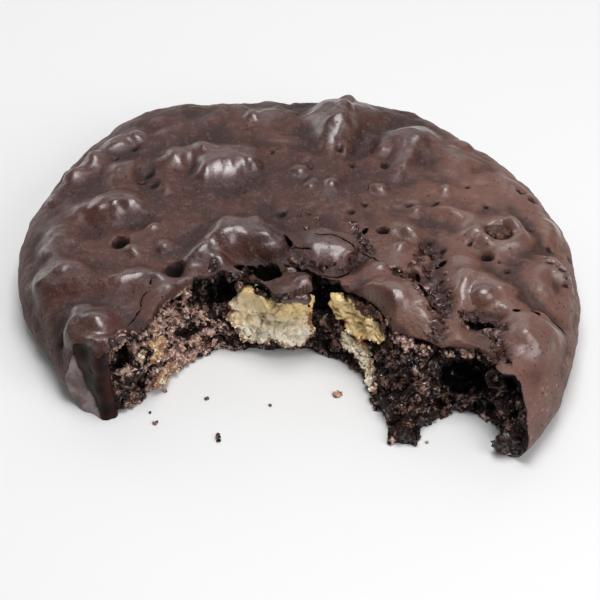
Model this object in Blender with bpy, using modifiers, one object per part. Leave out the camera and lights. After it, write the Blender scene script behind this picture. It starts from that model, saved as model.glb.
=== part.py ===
"""A bitten chocolate nut cookie: one baked round with a lumpy, brittle crust, and the walnut pieces
that show at the bite and through the crust. It lies on z = 0, and the bite faces -Y."""

import math

import bmesh
import bpy
import numpy as np
from mathutils import Matrix, Vector, noise

# Every size below is in millimetres, and MM turns it into metres.
MM = 0.001

# The round
RADIUS = 50.3
HEIGHT = 16.3
DOME = 1.5  # how far the top falls from its middle to where it rounds over
RIM_WIDTH = 12.5  # from the side in to where the top starts to round over
WAIST = 5.0  # height at which the side stands out furthest
FOOT_TUCK = 3.0  # how far the foot draws in below the waist
DISC_CENTRE = (-0.4, 0.0)
BOX_CENTRE = (-0.7, 6.5)  # middle of the bitten round, moved onto the origin at the end

# Lobes that make the round uneven: share of the radius, lobes in a turn, direction in degrees
LOBES = (
    (0.036, 2, -53),
    (0.008, 3, -9),
    (0.019, 4, -37),
    (0.012, 5, 23),
    (0.017, 6, 6),
    (0.007, 7, 25),
)

# The flank beside the left tip is pressed in: share of the radius, direction and spread in degrees
PRESSED = (0.032, -150, 22)

# Lumps where nuts lift the crust: x, y, half length, half width, turn in degrees, height, fullness.
# Fullness 2 is a soft swell, 4 a round nut close under the skin.
LUMPS = (
    (7.3, 35.6, 9.0, 7.4, 60, 3.7, 2.6),
    (6.5, 29.0, 6.0, 4.6, 80, 2.0, 2.4),
    (20.0, 28.4, 7.2, 5.0, 15, 2.5, 2.8),
    (19.0, 22.0, 4.0, 3.4, 60, 1.5, 2.8),
    (27.5, 23.5, 7.0, 4.5, -30, 1.0, 2.0),
    (-23.2, 23.8, 4.2, 3.4, 60, 1.7, 2.8),
    (-18.8, 24.8, 3.8, 3.2, 30, 1.6, 2.8),
    (-12.6, 22.4, 7.0, 5.6, -15, 2.7, 3.0),
    (-17.4, 18.6, 3.4, 2.6, 40, 1.4, 2.8),
    (-33.0, 10.2, 7.6, 4.6, 8, 2.5, 2.8),
    (-9.2, 0.6, 8.6, 6.2, -12, 3.7, 3.0),
    (-14.2, -3.2, 4.6, 3.6, 30, 1.5, 2.4),
    (4.0, -0.6, 7.6, 5.4, -18, 1.5, 3.4),
    (34.6, 2.6, 7.0, 6.0, -10, 2.2, 2.8),
    (19.4, 3.4, 3.4, 2.8, 0, 1.2, 2.8),
    (28.0, 7.2, 4.2, 2.6, -40, 1.0, 2.8),
    (27.6, -5.6, 4.6, 4.0, 60, 1.2, 2.4),
    (30.6, -12.2, 7.6, 5.8, -28, 3.0, 3.0),
    (36.4, -11.8, 2.2, 1.7, 40, 1.1, 3.0),
    (37.6, -14.6, 2.0, 1.6, 0, 0.9, 3.0),
    (41.6, -7.6, 5.4, 3.4, 70, 1.4, 2.6),
    (38.2, -21.6, 8.2, 7.2, -40, 2.0, 2.4),
    (42.6, -19.4, 3.6, 3.0, 70, 0.9, 2.6),
    (17.6, -15.4, 8.2, 6.4, -30, 2.2, 3.2),
    (23.6, -20.6, 4.4, 3.4, 0, 0.8, 2.4),
    (-34.2, -18.4, 4.6, 3.8, -30, 2.2, 3.0),
    (-38.6, -20.6, 5.2, 3.2, 50, 1.2, 2.4),
    (-28.8, -14.6, 5.6, 4.2, 20, 0.8, 2.2),
    (-40.0, 21.5, 7.4, 2.8, 48, 1.3, 2.2),
    (-34.0, 28.6, 7.0, 2.6, 36, 1.2, 2.2),
    (-31.0, 21.6, 4.6, 3.4, 20, 0.9, 2.2),
    (-43.0, 3.0, 7.4, 3.4, 84, 1.2, 2.2),
    (-43.6, -10.6, 6.4, 3.2, -70, 1.2, 2.2),
    (-21.5, 33.6, 7.6, 2.8, 22, 1.0, 2.2),
    (-6.0, 38.6, 5.6, 2.8, 0, 0.8, 2.2),
    (38.0, 17.6, 6.4, 4.0, -56, 1.0, 2.2),
    (44.0, 7.0, 6.0, 3.0, 80, 0.9, 2.2),
    (7.0, 12.0, 9.0, 5.0, 10, 0.5, 2.0),
    (0.0, 44.5, 22.0, 9.0, 0, -1.6, 2.0),
    (-26.0, 2.0, 8.0, 5.0, 0, 0.6, 2.0),
)

# Raised folds of the skin, each along its own points: (x, y) of the points, half width, height
FOLDS = (
    (((-44.0, -5.4), (-39.4, -8.0), (-33.6, -8.8), (-28.4, -8.2), (-23.6, -10.6)), 3.2, 1.1),
    (((-19.6, -9.2), (-18.4, -5.4), (-16.4, -1.8), (-13.0, 1.8)), 2.8, 1.2),
    (((-37.8, -15.6), (-37.6, -20.6), (-33.0, -23.6), (-28.4, -22.0)), 1.8, 1.0),
    (((43.6, -2.4), (46.0, -6.6), (44.6, -11.0)), 1.8, 1.0),
    (((25.6, 9.0), (29.2, 6.8), (29.6, 2.0)), 1.7, 0.9),
)

# Breaks in the crust, each along its own points: (x, y) of the points, half width, depth
BREAKS = (
    (((-6.4, -6.4), (0.0, -6.6), (4.6, -8.4), (9.0, -7.4), (10.4, -4.0)), 1.4, 2.4),
    (((-25.7, -9.3), (-27.2, -14.0), (-29.1, -19.1)), 0.9, 1.3),
    (((20.6, -9.6), (24.2, -14.6), (23.8, -20.4)), 1.8, 1.3),
    (((22.6, 0.4), (24.4, -3.4), (22.4, -8.0)), 2.2, 1.2),
    (((28.4, -19.8), (32.0, -19.2)), 1.3, 1.8),
    (((38.6, -16.0), (42.0, -16.6), (45.6, -17.6)), 0.9, 1.2),
)

# Pits where bubbles opened: x, y, half width, depth
PITS = (
    (-31.1, -0.6, 1.5, 2.4),
    (-21.6, -7.6, 2.2, 1.8),
    (-3.2, 7.2, 2.0, 1.6),
    (11.4, 9.2, 1.6, 1.0),
    (11.8, 3.6, 1.2, 1.3),
    (19.9, -10.0, 1.4, 1.6),
    (32.0, -4.8, 1.5, 1.4),
    (46.4, 0.4, 1.9, 1.4),
    (24.0, 10.0, 1.5, 1.0),
    (1.2, 30.8, 1.6, 1.4),
    (-18.9, 39.4, 2.0, 1.2),
    (-3.5, 37.0, 1.8, 1.2),
    (-28.0, 19.4, 2.6, 1.1),
    (34.6, 2.9, 3.3, 2.6),
)

# Tooth scallops of the bite: x, y and radius where each meets the base, then at BITE_TOP
BITE_TOP = 14.0
SCALLOPS = (
    (-41.6, -31.6, 9.0, -41.2, -30.6, 9.0),
    (-28.0, -35.6, 9.4, -24.5, -31.0, 10.0),
    (-20.7, -30.2, 9.8, -18.4, -26.1, 10.0),
    (-10.2, -25.0, 14.1, -13.2, -20.6, 11.7),
    (-1.0, -23.6, 12.6, 3.8, -23.6, 12.2),
    (2.2, -31.6, 12.1, 11.3, -32.1, 12.3),
    (16.3, -44.6, 10.4, 16.6, -33.2, 11.4),
    (27.6, -33.6, 7.1, 25.6, -32.8, 8.5),
    (29.6, -42.6, 8.6, 26.8, -37.2, 10.8),
    (-10.0, -42.0, 20.0, -10.0, -42.0, 20.0),
)
CRUMB_RELIEF = 1.6  # how far the torn crumb stands out or in
CRUMB_SIZE = 4.2  # of its largest crags

# Hollows in the torn face: x, y, z, half sizes along X, Y and Z
HOLLOWS = (
    (-14.4, -8.8, 11.6, 4.6, 4.6, 3.0),
    (-5.6, -7.6, 15.2, 2.8, 2.0, 3.0),
    (3.6, -10.4, 13.6, 1.5, 4.6, 4.6),
    (28.0, -24.6, 7.8, 4.6, 5.0, 3.4),
    (-30.4, -22.6, 10.0, 1.7, 2.4, 1.6),
    (35.6, -30.4, 11.6, 1.7, 2.6, 2.2),
)

# Walnut pieces: lobes as x, y, z and half sizes along X, Y and Z. The bite goes through all but the last.
NUTS = {
    "nut_centre": (
        (-7.6, -9.2, 11.4, 3.3, 4.2, 2.9),
        (-1.8, -10.2, 11.4, 3.9, 4.2, 3.0),
        (-8.8, -8.8, 7.6, 3.8, 4.2, 3.6),
        (-2.6, -10.8, 7.4, 4.8, 4.8, 4.2),
        (-7.6, -9.6, 4.9, 3.4, 4.0, 2.6),
        (-0.6, -12.0, 5.6, 3.3, 4.2, 3.2),
    ),
    "nut_right": (
        (8.3, -12.4, 11.7, 3.2, 4.4, 2.7),
        (12.3, -15.6, 11.5, 3.3, 4.6, 2.9),
        (10.0, -15.0, 10.2, 2.6, 4.2, 2.0),
    ),
    "nut_right_low": (
        (8.2, -14.6, 5.4, 1.9, 2.6, 1.6),
        (10.6, -16.4, 5.2, 1.9, 2.6, 1.8),
        (11.0, -18.8, 4.0, 1.8, 2.8, 1.7),
        (12.0, -21.0, 2.6, 1.5, 2.8, 1.4),
    ),
    "nut_left": (
        (-26.0, -19.8, 8.6, 2.1, 2.6, 2.0),
        (-24.2, -18.6, 8.0, 1.9, 2.6, 1.8),
    ),
    "nut_left_low": (
        (-24.2, -19.6, 2.3, 1.9, 2.3, 1.5),
        (-22.4, -18.2, 2.1, 1.5, 2.1, 1.3),
    ),
    "nut_top": ((34.8, 2.8, 14.8, 2.5, 2.1, 1.9), (33.7, 3.3, 15.0, 1.7, 1.6, 1.4)),
}
NUT_STANDS_OUT = 0.8  # past the torn face
NUT_GAP = 0.4  # left free round each nut in its pocket
NUT_WRINKLE = 0.3  # uneven surface of a nut

# Mesh fineness
STEPS_ROUND = 180
VOXEL_BLANK = 0.9
VOXEL_COOKIE = 0.62
VOXEL_NUT = 0.5
COOKIE_TRIANGLES = 8000
NUT_TRIANGLES_PER_LOBE = 90

# Colours as linear RGB, then roughness
CRUST_LOOK = ((0.075, 0.036, 0.027), 0.38)
NUT_LOOK = ((0.56, 0.42, 0.20), 0.62)


def clear_scene():
    for obj in list(bpy.data.objects):
        bpy.data.objects.remove(obj, do_unlink=True)


def new_collection(name):
    collection = bpy.data.collections.new(name)
    bpy.context.scene.collection.children.link(collection)
    return collection


def new_material(name, look):
    colour, roughness = look
    material = bpy.data.materials.new(name)
    material.use_nodes = True
    shader = material.node_tree.nodes["Principled BSDF"]
    shader.inputs["Base Color"].default_value = (*colour, 1.0)
    shader.inputs["Roughness"].default_value = roughness
    shader.inputs["Metallic"].default_value = 0.0
    return material


def new_object(name, mesh, collection):
    obj = bpy.data.objects.new(name, mesh)
    collection.objects.link(obj)
    return obj


def as_cutter(obj):
    obj.hide_render = True
    obj.display_type = "WIRE"
    return obj


def add_modifier(obj, kind, **settings):
    modifier = obj.modifiers.new(kind.title(), kind)
    for name, value in settings.items():
        setattr(modifier, name, value)
    return modifier


def apply_modifiers(obj):
    bpy.context.view_layer.update()
    graph = bpy.context.evaluated_depsgraph_get()
    mesh = bpy.data.meshes.new_from_object(obj.evaluated_get(graph))
    old = obj.data
    obj.modifiers.clear()
    obj.data = mesh
    bpy.data.meshes.remove(old)


def remesh(obj, voxel):
    add_modifier(obj, "REMESH", mode="VOXEL", voxel_size=voxel * MM)
    apply_modifiers(obj)


def decimate(obj, triangles):
    obj.data.calc_loop_triangles()
    share = triangles / len(obj.data.loop_triangles)
    if share < 1.0:
        add_modifier(obj, "DECIMATE", ratio=share, use_collapse_triangulate=True)
        apply_modifiers(obj)


def read_points(mesh):
    """Points and normals as arrays of millimetres and unit vectors."""
    points = np.empty(len(mesh.vertices) * 3)
    mesh.vertices.foreach_get("co", points)
    normals = np.empty(len(mesh.vertices) * 3)
    mesh.vertex_normals.foreach_get("vector", normals)
    return points.reshape(-1, 3) / MM, normals.reshape(-1, 3)


def write_points(mesh, points):
    mesh.vertices.foreach_set("co", (points * MM).ravel())
    mesh.update()


def outline(angle):
    """Radius of the round in a direction, as a share of RADIUS."""
    depth, turn, spread = PRESSED
    aside = (angle - math.radians(turn) + math.pi) % math.tau - math.pi
    pressed = depth * np.exp(-((aside / math.radians(spread)) ** 2))
    return 1.0 - pressed + sum(
        share * np.cos(count * (angle - math.radians(turn))) for share, count, turn in LOBES
    )


def crust_height(x, y):
    """Height of the smooth top, before lumps, over a place on the round."""
    x, y = x - DISC_CENTRE[0], y - DISC_CENTRE[1]
    out = math.hypot(x, y) / outline(math.atan2(y, x))
    flat = RADIUS - RIM_WIDTH
    if out <= flat:
        return HEIGHT - DOME * (out / flat) ** 2
    over = min((out - flat) / RIM_WIDTH, 1.0)
    return WAIST + (HEIGHT - DOME - WAIST) * math.sqrt(1.0 - over**2)


def round_profile():
    """Half section of the round, down its outer side from the middle of the top."""
    flat = RADIUS - RIM_WIDTH
    points = [(flat * k / 30, HEIGHT - DOME * (k / 30) ** 2) for k in range(30)]
    for k in range(19):
        a = math.radians(90 - 5 * k)
        rise = HEIGHT - DOME - WAIST
        points.append((flat + RIM_WIDTH * math.cos(a), WAIST + rise * math.sin(a)))
    for k in range(1, 10):
        a = math.radians(10 * k)
        points.append((RADIUS - FOOT_TUCK * (1 - math.cos(a)), WAIST * (1 - math.sin(a))))
    foot = RADIUS - FOOT_TUCK
    points += [(foot - 1.0, -1.0), (0.0, -1.0)]
    return points


def make_round(collection):
    """The whole round before the bite, a little too deep below: its base is cut flat last."""
    mesh = bpy.data.meshes.new("round_profile")
    points = round_profile()
    edges = [(k, k + 1) for k in range(len(points) - 1)]
    mesh.from_pydata([(r * MM, 0.0, z * MM) for r, z in points], edges, [])
    obj = new_object("cookie", mesh, collection)
    add_modifier(
        obj,
        "SCREW",
        steps=STEPS_ROUND,
        render_steps=STEPS_ROUND,
        use_merge_vertices=True,
        merge_threshold=0.00005,
    )
    apply_modifiers(obj)
    remesh(obj, VOXEL_BLANK)
    points, _ = read_points(obj.data)
    share = outline(np.arctan2(points[:, 1], points[:, 0]))
    points[:, 0] = points[:, 0] * share + DISC_CENTRE[0]
    points[:, 1] = points[:, 1] * share + DISC_CENTRE[1]
    write_points(obj.data, points)
    return obj


def lump_rise(points, lump):
    x, y, length, width, turn, height, fullness = lump
    away = points - (x, y, crust_height(x, y))
    cos, sin = math.cos(math.radians(turn)), math.sin(math.radians(turn))
    along = (away[:, 0] * cos + away[:, 1] * sin) / length
    across = (away[:, 1] * cos - away[:, 0] * sin) / width
    upward = away[:, 2] / (0.5 * (length + width))
    out = np.sqrt(along**2 + across**2 + upward**2)
    return height * np.clip(1.0 - out**fullness, 0.0, 1.0) ** 2


def line_rise(points, places, width, height):
    """A ridge, or with a negative height a groove, along a line of places on the crust."""
    ends = [np.array((x, y, crust_height(x, y))) for x, y in places]
    nearest = np.full(len(points), np.inf)
    for start, end in zip(ends, ends[1:]):
        run = end - start
        share = np.clip((points - start) @ run / (run @ run), 0.0, 1.0)
        away = np.linalg.norm(points - start - share[:, None] * run, axis=1)
        nearest = np.minimum(nearest, away)
    return height * np.clip(1.0 - (nearest / width) ** 2, 0.0, 1.0) ** 2


def swell(points, size, seed):
    """Smooth noise from -1 to 1 at each point, with features of the given size."""
    offset = Vector((seed * 7.3, seed * 3.1, seed * 5.7))
    return np.array([noise.noise(Vector(point) / size + offset) for point in points])


def raise_crust(obj):
    points, normals = read_points(obj.data)
    rise = 0.5 * swell(points, 9.0, 1) + 0.25 * swell(points, 4.0, 2)
    for lump in LUMPS:
        rise += lump_rise(points, lump)
    for places, width, height in FOLDS:
        rise += line_rise(points, places, width, height)
    for places, width, depth in BREAKS:
        rise += line_rise(points, places, width, -depth)
    for x, y, width, depth in PITS:
        rise += lump_rise(points, (x, y, width, width, 0, -depth, 2.6))
    rise *= np.clip(points[:, 2] / WAIST, 0.0, 1.0)
    write_points(obj.data, points + normals * rise[:, None])


def make_scallop(index, scallop, collection):
    """One tooth's cut: a leaning cone, drawn on straight past the base and the top."""
    x0, y0, r0, x1, y1, r1 = scallop
    below, above = -0.2, 1.6  # shares of BITE_TOP
    base = [a + (b - a) * below for a, b in ((x0, x1), (y0, y1), (r0, r1))]
    top = [a + (b - a) * above for a, b in ((x0, x1), (y0, y1), (r0, r1))]
    mesh = bpy.data.meshes.new(f"scallop_{index}")
    cone = bmesh.new()
    depth = BITE_TOP * (above - below)
    bmesh.ops.create_cone(
        cone,
        cap_ends=True,
        segments=64,
        radius1=base[2] * MM,
        radius2=top[2] * MM,
        depth=depth * MM,
    )
    for vertex in cone.verts:
        x, y = (top if vertex.co.z > 0 else base)[:2]
        vertex.co.x += x * MM
        vertex.co.y += y * MM
        vertex.co.z += (depth / 2 + BITE_TOP * below) * MM
    cone.to_mesh(mesh)
    cone.free()
    return as_cutter(new_object(mesh.name, mesh, collection))


def make_ellipsoid(name, place, collection, grow=0.0, segments=32):
    x, y, z, rx, ry, rz = place
    mesh = bpy.data.meshes.new(name)
    ball = bmesh.new()
    size = Matrix.Diagonal(((rx + grow) * MM, (ry + grow) * MM, (rz + grow) * MM, 1.0))
    matrix = Matrix.Translation((x * MM, y * MM, z * MM)) @ size
    bmesh.ops.create_uvsphere(
        ball, u_segments=segments, v_segments=segments // 2, radius=1.0, matrix=matrix
    )
    ball.to_mesh(mesh)
    ball.free()
    return new_object(name, mesh, collection)


def wall_distance(points):
    """Distance in front of the bite's torn face: below zero in the food."""
    share = points[:, 2] / BITE_TOP
    nearest = np.full(len(points), np.inf)
    for x0, y0, r0, x1, y1, r1 in SCALLOPS:
        x, y = x0 + (x1 - x0) * share, y0 + (y1 - y0) * share
        away = np.hypot(points[:, 0] - x, points[:, 1] - y) - (r0 + (r1 - r0) * share)
        nearest = np.minimum(nearest, away)
    return -nearest


def crumble(obj):
    """Roughens the torn face, and leaves the crust as it is."""
    points, normals = read_points(obj.data)
    torn = np.abs(wall_distance(points)) < 0.7
    for x, y, z, rx, ry, rz in HOLLOWS:
        away = np.linalg.norm((points - (x, y, z)) / (rx, ry, rz), axis=1)
        torn |= away < 1.12
    rough = np.zeros(len(points))
    rough[torn] = swell(points[torn], CRUMB_SIZE, 3) + 0.6 * swell(points[torn], 1.9, 4)
    write_points(obj.data, points + normals * (CRUMB_RELIEF * rough)[:, None])


def keep_largest(obj):
    """Drops loose scraps that cutting left."""
    shape = bmesh.new()
    shape.from_mesh(obj.data)
    left = set(shape.verts)
    pieces = []
    while left:
        piece = [left.pop()]
        for vertex in piece:
            near = {edge.other_vert(vertex) for edge in vertex.link_edges} & left
            left -= near
            piece.extend(near)
        pieces.append(piece)
    largest = max(pieces, key=len)
    scraps = [vertex for piece in pieces if piece is not largest for vertex in piece]
    bmesh.ops.delete(shape, geom=scraps, context="VERTS")
    shape.to_mesh(obj.data)
    shape.free()


def make_nut(name, lobes, collection, cutters):
    """One walnut piece of joined lobes, whole as yet."""
    joined = new_collection(name + "_lobes")
    first, *others = lobes
    nut = make_ellipsoid(name, first, collection)
    for index, lobe in enumerate(others):
        make_ellipsoid(f"{name}_lobe_{index}", lobe, joined)
    if others:
        add_modifier(
            nut, "BOOLEAN", operation="UNION", operand_type="COLLECTION", collection=joined
        )
        apply_modifiers(nut)
    for obj in list(joined.objects):
        bpy.data.objects.remove(obj, do_unlink=True)
    bpy.data.collections.remove(joined)
    remesh(nut, VOXEL_NUT)
    add_modifier(nut, "SMOOTH", factor=0.5, iterations=4)
    apply_modifiers(nut)
    points, normals = read_points(nut.data)
    wrinkle = NUT_WRINKLE * swell(points, 2.2, 5)
    write_points(nut.data, points + normals * wrinkle[:, None])
    decimate(nut, NUT_TRIANGLES_PER_LOBE * (len(lobes) + 1))
    return nut


def make_pocket(nut, collection):
    """The nut's own shape grown by the gap, as a cutter for the cookie."""
    pocket = as_cutter(new_object(nut.name + "_pocket", nut.data.copy(), collection))
    points, normals = read_points(pocket.data)
    write_points(pocket.data, points + normals * NUT_GAP)
    return pocket


def cut(obj, collection):
    add_modifier(
        obj, "BOOLEAN", operation="DIFFERENCE", operand_type="COLLECTION", collection=collection
    )
    apply_modifiers(obj)


def make_base_cutter(collection):
    """A slab below the table's surface, which cuts the foot flat."""
    mesh = bpy.data.meshes.new("base_cutter")
    slab = bmesh.new()
    size = Matrix.Diagonal((130 * MM, 130 * MM, 6 * MM, 1.0))
    bmesh.ops.create_cube(slab, size=1.0, matrix=Matrix.Translation((0, 0, -3 * MM)) @ size)
    slab.to_mesh(mesh)
    slab.free()
    return as_cutter(new_object("base_cutter", mesh, collection))


def shade(obj, material):
    obj.data.materials.clear()
    obj.data.materials.append(material)
    obj.data.shade_smooth()
    obj.data.set_sharp_from_angle(angle=math.radians(40))


def main():
    clear_scene()
    part = new_collection("chocolate_nut_cookie")
    bite = new_collection("bite_cutters")
    pockets = new_collection("pocket_cutters")
    crust = new_material("cookie_crust", CRUST_LOOK)
    walnut = new_material("walnut", NUT_LOOK)

    cookie = make_round(part)
    raise_crust(cookie)
    for index, scallop in enumerate(SCALLOPS):
        make_scallop(index, scallop, bite)
    hollows = new_collection("hollow_cutters")
    for index, hollow in enumerate(HOLLOWS):
        as_cutter(make_ellipsoid(f"hollow_{index}", hollow, hollows))
    cut(cookie, bite)
    cut(cookie, hollows)
    remesh(cookie, VOXEL_COOKIE)
    crumble(cookie)
    remesh(cookie, VOXEL_COOKIE)
    decimate(cookie, COOKIE_TRIANGLES)

    nuts = [make_nut(name, lobes, part, pockets) for name, lobes in NUTS.items()]
    for nut in nuts:
        make_pocket(nut, pockets)
    make_base_cutter(pockets)
    cut(cookie, pockets)
    keep_largest(cookie)

    for scallop in bite.objects:
        scallop.location.y -= NUT_STANDS_OUT * MM
    for nut in nuts[:-1]:
        cut(nut, bite)
        keep_largest(nut)

    for obj in (cookie, *nuts):
        obj.data.transform(Matrix.Translation((-BOX_CENTRE[0] * MM, -BOX_CENTRE[1] * MM, 0.0)))
        shade(obj, crust if obj is cookie else walnut)


main()
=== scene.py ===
import math

import bmesh
import bpy
import numpy as np
from mathutils import Matrix, Vector, noise


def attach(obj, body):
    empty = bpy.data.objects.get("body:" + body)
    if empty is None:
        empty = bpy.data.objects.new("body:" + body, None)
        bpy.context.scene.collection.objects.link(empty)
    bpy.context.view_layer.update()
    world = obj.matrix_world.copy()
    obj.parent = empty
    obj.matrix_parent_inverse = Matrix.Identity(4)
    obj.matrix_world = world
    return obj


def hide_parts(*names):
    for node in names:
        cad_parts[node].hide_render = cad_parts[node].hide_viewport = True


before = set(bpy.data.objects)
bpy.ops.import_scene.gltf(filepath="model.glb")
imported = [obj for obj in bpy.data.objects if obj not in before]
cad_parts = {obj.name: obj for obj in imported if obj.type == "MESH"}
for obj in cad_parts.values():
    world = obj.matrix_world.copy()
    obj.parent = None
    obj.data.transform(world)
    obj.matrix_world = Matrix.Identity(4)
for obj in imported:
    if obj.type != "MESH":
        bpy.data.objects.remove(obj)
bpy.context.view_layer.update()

mm = 0.001  # sizes below are in millimetres, on the round as baked; boxCentre moves them into the frame
overhead = 24.0  # a height above everything
coneSides = 72
bodyFoot, grainFoot = 0.03, 0.02  # lowest heights of bodies and of grains, clear of the floor

# The round and its lumpy top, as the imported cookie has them
cookie = {
    "radius": 50.3,
    "height": 16.3,
    "dome": 1.5,
    "rimWidth": 12.5,
    "waist": 5.0,
    "footTuck": 3.0,
    "discCentre": (-0.4, 0.0),
    "boxCentre": (-0.7, 6.5),
    # share of the radius, lobes in a turn, direction in degrees
    "lobes": (
        (0.036, 2, -53), (0.008, 3, -9), (0.019, 4, -37), (0.012, 5, 23), (0.017, 6, 6), (0.007, 7, 25),
    ),
    "pressed": (0.032, -150, 22),
    # x, y, half length, half width, turn, height, fullness
    "lumps": (
        (7.3, 35.6, 9.0, 7.4, 60, 3.7, 2.6), (6.5, 29.0, 6.0, 4.6, 80, 2.0, 2.4),
        (20.0, 28.4, 7.2, 5.0, 15, 2.5, 2.8), (19.0, 22.0, 4.0, 3.4, 60, 1.5, 2.8),
        (27.5, 23.5, 7.0, 4.5, -30, 1.0, 2.0), (-23.2, 23.8, 4.2, 3.4, 60, 1.7, 2.8),
        (-18.8, 24.8, 3.8, 3.2, 30, 1.6, 2.8), (-12.6, 22.4, 7.0, 5.6, -15, 2.7, 3.0),
        (-17.4, 18.6, 3.4, 2.6, 40, 1.4, 2.8), (-33.0, 10.2, 7.6, 4.6, 8, 2.5, 2.8),
        (-9.2, 0.6, 8.6, 6.2, -12, 3.7, 3.0), (-14.2, -3.2, 4.6, 3.6, 30, 1.5, 2.4),
        (4.0, -0.6, 7.6, 5.4, -18, 1.5, 3.4), (34.6, 2.6, 7.0, 6.0, -10, 2.2, 2.8),
        (19.4, 3.4, 3.4, 2.8, 0, 1.2, 2.8), (28.0, 7.2, 4.2, 2.6, -40, 1.0, 2.8),
        (27.6, -5.6, 4.6, 4.0, 60, 1.2, 2.4), (30.6, -12.2, 7.6, 5.8, -28, 3.0, 3.0),
        (36.4, -11.8, 2.2, 1.7, 40, 1.1, 3.0), (37.6, -14.6, 2.0, 1.6, 0, 0.9, 3.0),
        (41.6, -7.6, 5.4, 3.4, 70, 1.4, 2.6), (38.2, -21.6, 8.2, 7.2, -40, 2.0, 2.4),
        (42.6, -19.4, 3.6, 3.0, 70, 0.9, 2.6), (17.6, -15.4, 8.2, 6.4, -30, 2.2, 3.2),
        (23.6, -20.6, 4.4, 3.4, 0, 0.8, 2.4), (-34.2, -18.4, 4.6, 3.8, -30, 2.2, 3.0),
        (-38.6, -20.6, 5.2, 3.2, 50, 1.2, 2.4), (-28.8, -14.6, 5.6, 4.2, 20, 0.8, 2.2),
        (-40.0, 21.5, 7.4, 2.8, 48, 1.3, 2.2), (-34.0, 28.6, 7.0, 2.6, 36, 1.2, 2.2),
        (-31.0, 21.6, 4.6, 3.4, 20, 0.9, 2.2), (-43.0, 3.0, 7.4, 3.4, 84, 1.2, 2.2),
        (-43.6, -10.6, 6.4, 3.2, -70, 1.2, 2.2), (-21.5, 33.6, 7.6, 2.8, 22, 1.0, 2.2),
        (-6.0, 38.6, 5.6, 2.8, 0, 0.8, 2.2), (38.0, 17.6, 6.4, 4.0, -56, 1.0, 2.2),
        (44.0, 7.0, 6.0, 3.0, 80, 0.9, 2.2), (7.0, 12.0, 9.0, 5.0, 10, 0.5, 2.0),
        (0.0, 44.5, 22.0, 9.0, 0, -1.6, 2.0), (-26.0, 2.0, 8.0, 5.0, 0, 0.6, 2.0),
        (34.6, 2.9, 3.3, 3.3, 0, -2.6, 2.6), (-21.6, -7.6, 2.2, 2.2, 0, -1.8, 2.6),
        (-28.0, 19.4, 2.6, 2.6, 0, -1.1, 2.6),
    ),
    # places along the fold, half width, height
    "folds": (
        (((-44.0, -5.4), (-39.4, -8.0), (-33.6, -8.8), (-28.4, -8.2), (-23.6, -10.6)), 3.2, 1.1),
        (((-19.6, -9.2), (-18.4, -5.4), (-16.4, -1.8), (-13.0, 1.8)), 2.8, 1.2),
        (((-37.8, -15.6), (-37.6, -20.6), (-33.0, -23.6), (-28.4, -22.0)), 1.8, 1.0),
        (((43.6, -2.4), (46.0, -6.6), (44.6, -11.0)), 1.8, 1.0),
        (((25.6, 9.0), (29.2, 6.8), (29.6, 2.0)), 1.7, 0.9),
        (((-6.4, -6.4), (0.0, -6.6), (4.6, -8.4), (9.0, -7.4), (10.4, -4.0)), 1.4, -1.0),
        (((20.6, -9.6), (24.2, -14.6), (23.8, -20.4)), 1.8, -1.1),
        (((22.6, 0.4), (24.4, -3.4), (22.4, -8.0)), 2.2, -1.1),
        (((28.4, -19.8), (32.0, -19.2)), 1.3, -0.8),
    ),
}


# The bite: tooth scallops as x, y, radius at the base and at biteTop, and hollows in the torn face
bite = {
    "top": 14.0,
    "edgeHeight": 13.4,  # the crust's broken edge; above it the crust lies on the torn slope
    "scallops": (
        (-41.6, -31.6, 9.0, -41.2, -30.6, 9.0), (-28.0, -35.6, 9.4, -24.5, -31.0, 10.0),
        (-20.7, -30.2, 9.8, -18.4, -26.1, 10.0), (-10.2, -25.0, 14.1, -13.2, -20.6, 11.7),
        (-1.0, -23.6, 12.6, 3.8, -23.6, 12.2), (2.2, -31.6, 12.1, 11.3, -32.1, 12.3),
        (16.3, -44.6, 10.4, 16.6, -33.2, 11.4), (27.6, -33.6, 7.1, 25.6, -32.8, 8.5),
        (29.6, -42.6, 8.6, 26.8, -37.2, 10.8), (-10.0, -42.0, 20.0, -10.0, -42.0, 20.0),
    ),
    # x, y, z, half sizes
    "hollows": (
        (-14.4, -8.8, 11.6, 4.6, 4.6, 3.0), (-5.6, -7.6, 15.2, 2.8, 2.0, 3.0),
        (3.6, -10.4, 13.6, 1.5, 4.6, 4.6), (28.0, -24.6, 7.8, 4.6, 5.0, 3.4),
        (-30.4, -22.6, 10.0, 1.7, 2.4, 1.6), (35.6, -30.4, 11.6, 1.7, 2.6, 2.2),
    ),
}


def newObject(name, data):
    obj = bpy.data.objects.new(name, data)
    bpy.context.scene.collection.objects.link(obj)
    return obj


def meshObject(name, verts, faces):
    mesh = bpy.data.meshes.new(name)
    mesh.from_pydata((np.asarray(verts) * mm).tolist(), [], faces)
    return newObject(name, mesh)


def reshape(mesh, change):
    # edits a mesh through bmesh
    shape = bmesh.new()
    shape.from_mesh(mesh)
    change(shape)
    shape.to_mesh(mesh)
    shape.free()
    return mesh


def addModifier(obj, kind, **settings):
    modifier = obj.modifiers.new(kind.title(), kind)
    for name, value in settings.items():
        setattr(modifier, name, value)
    return modifier


def applyModifiers(obj):
    bpy.context.view_layer.update()
    graph = bpy.context.evaluated_depsgraph_get()
    mesh = bpy.data.meshes.new_from_object(obj.evaluated_get(graph))
    old = obj.data
    obj.modifiers.clear()
    obj.data = mesh
    bpy.data.meshes.remove(old)
    return obj


def remesh(obj, voxel):
    addModifier(obj, "REMESH", mode="VOXEL", voxel_size=voxel * mm)
    return applyModifiers(obj)


def discard(*objs):
    for obj in objs:
        bpy.data.objects.remove(obj, do_unlink=True)


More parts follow.
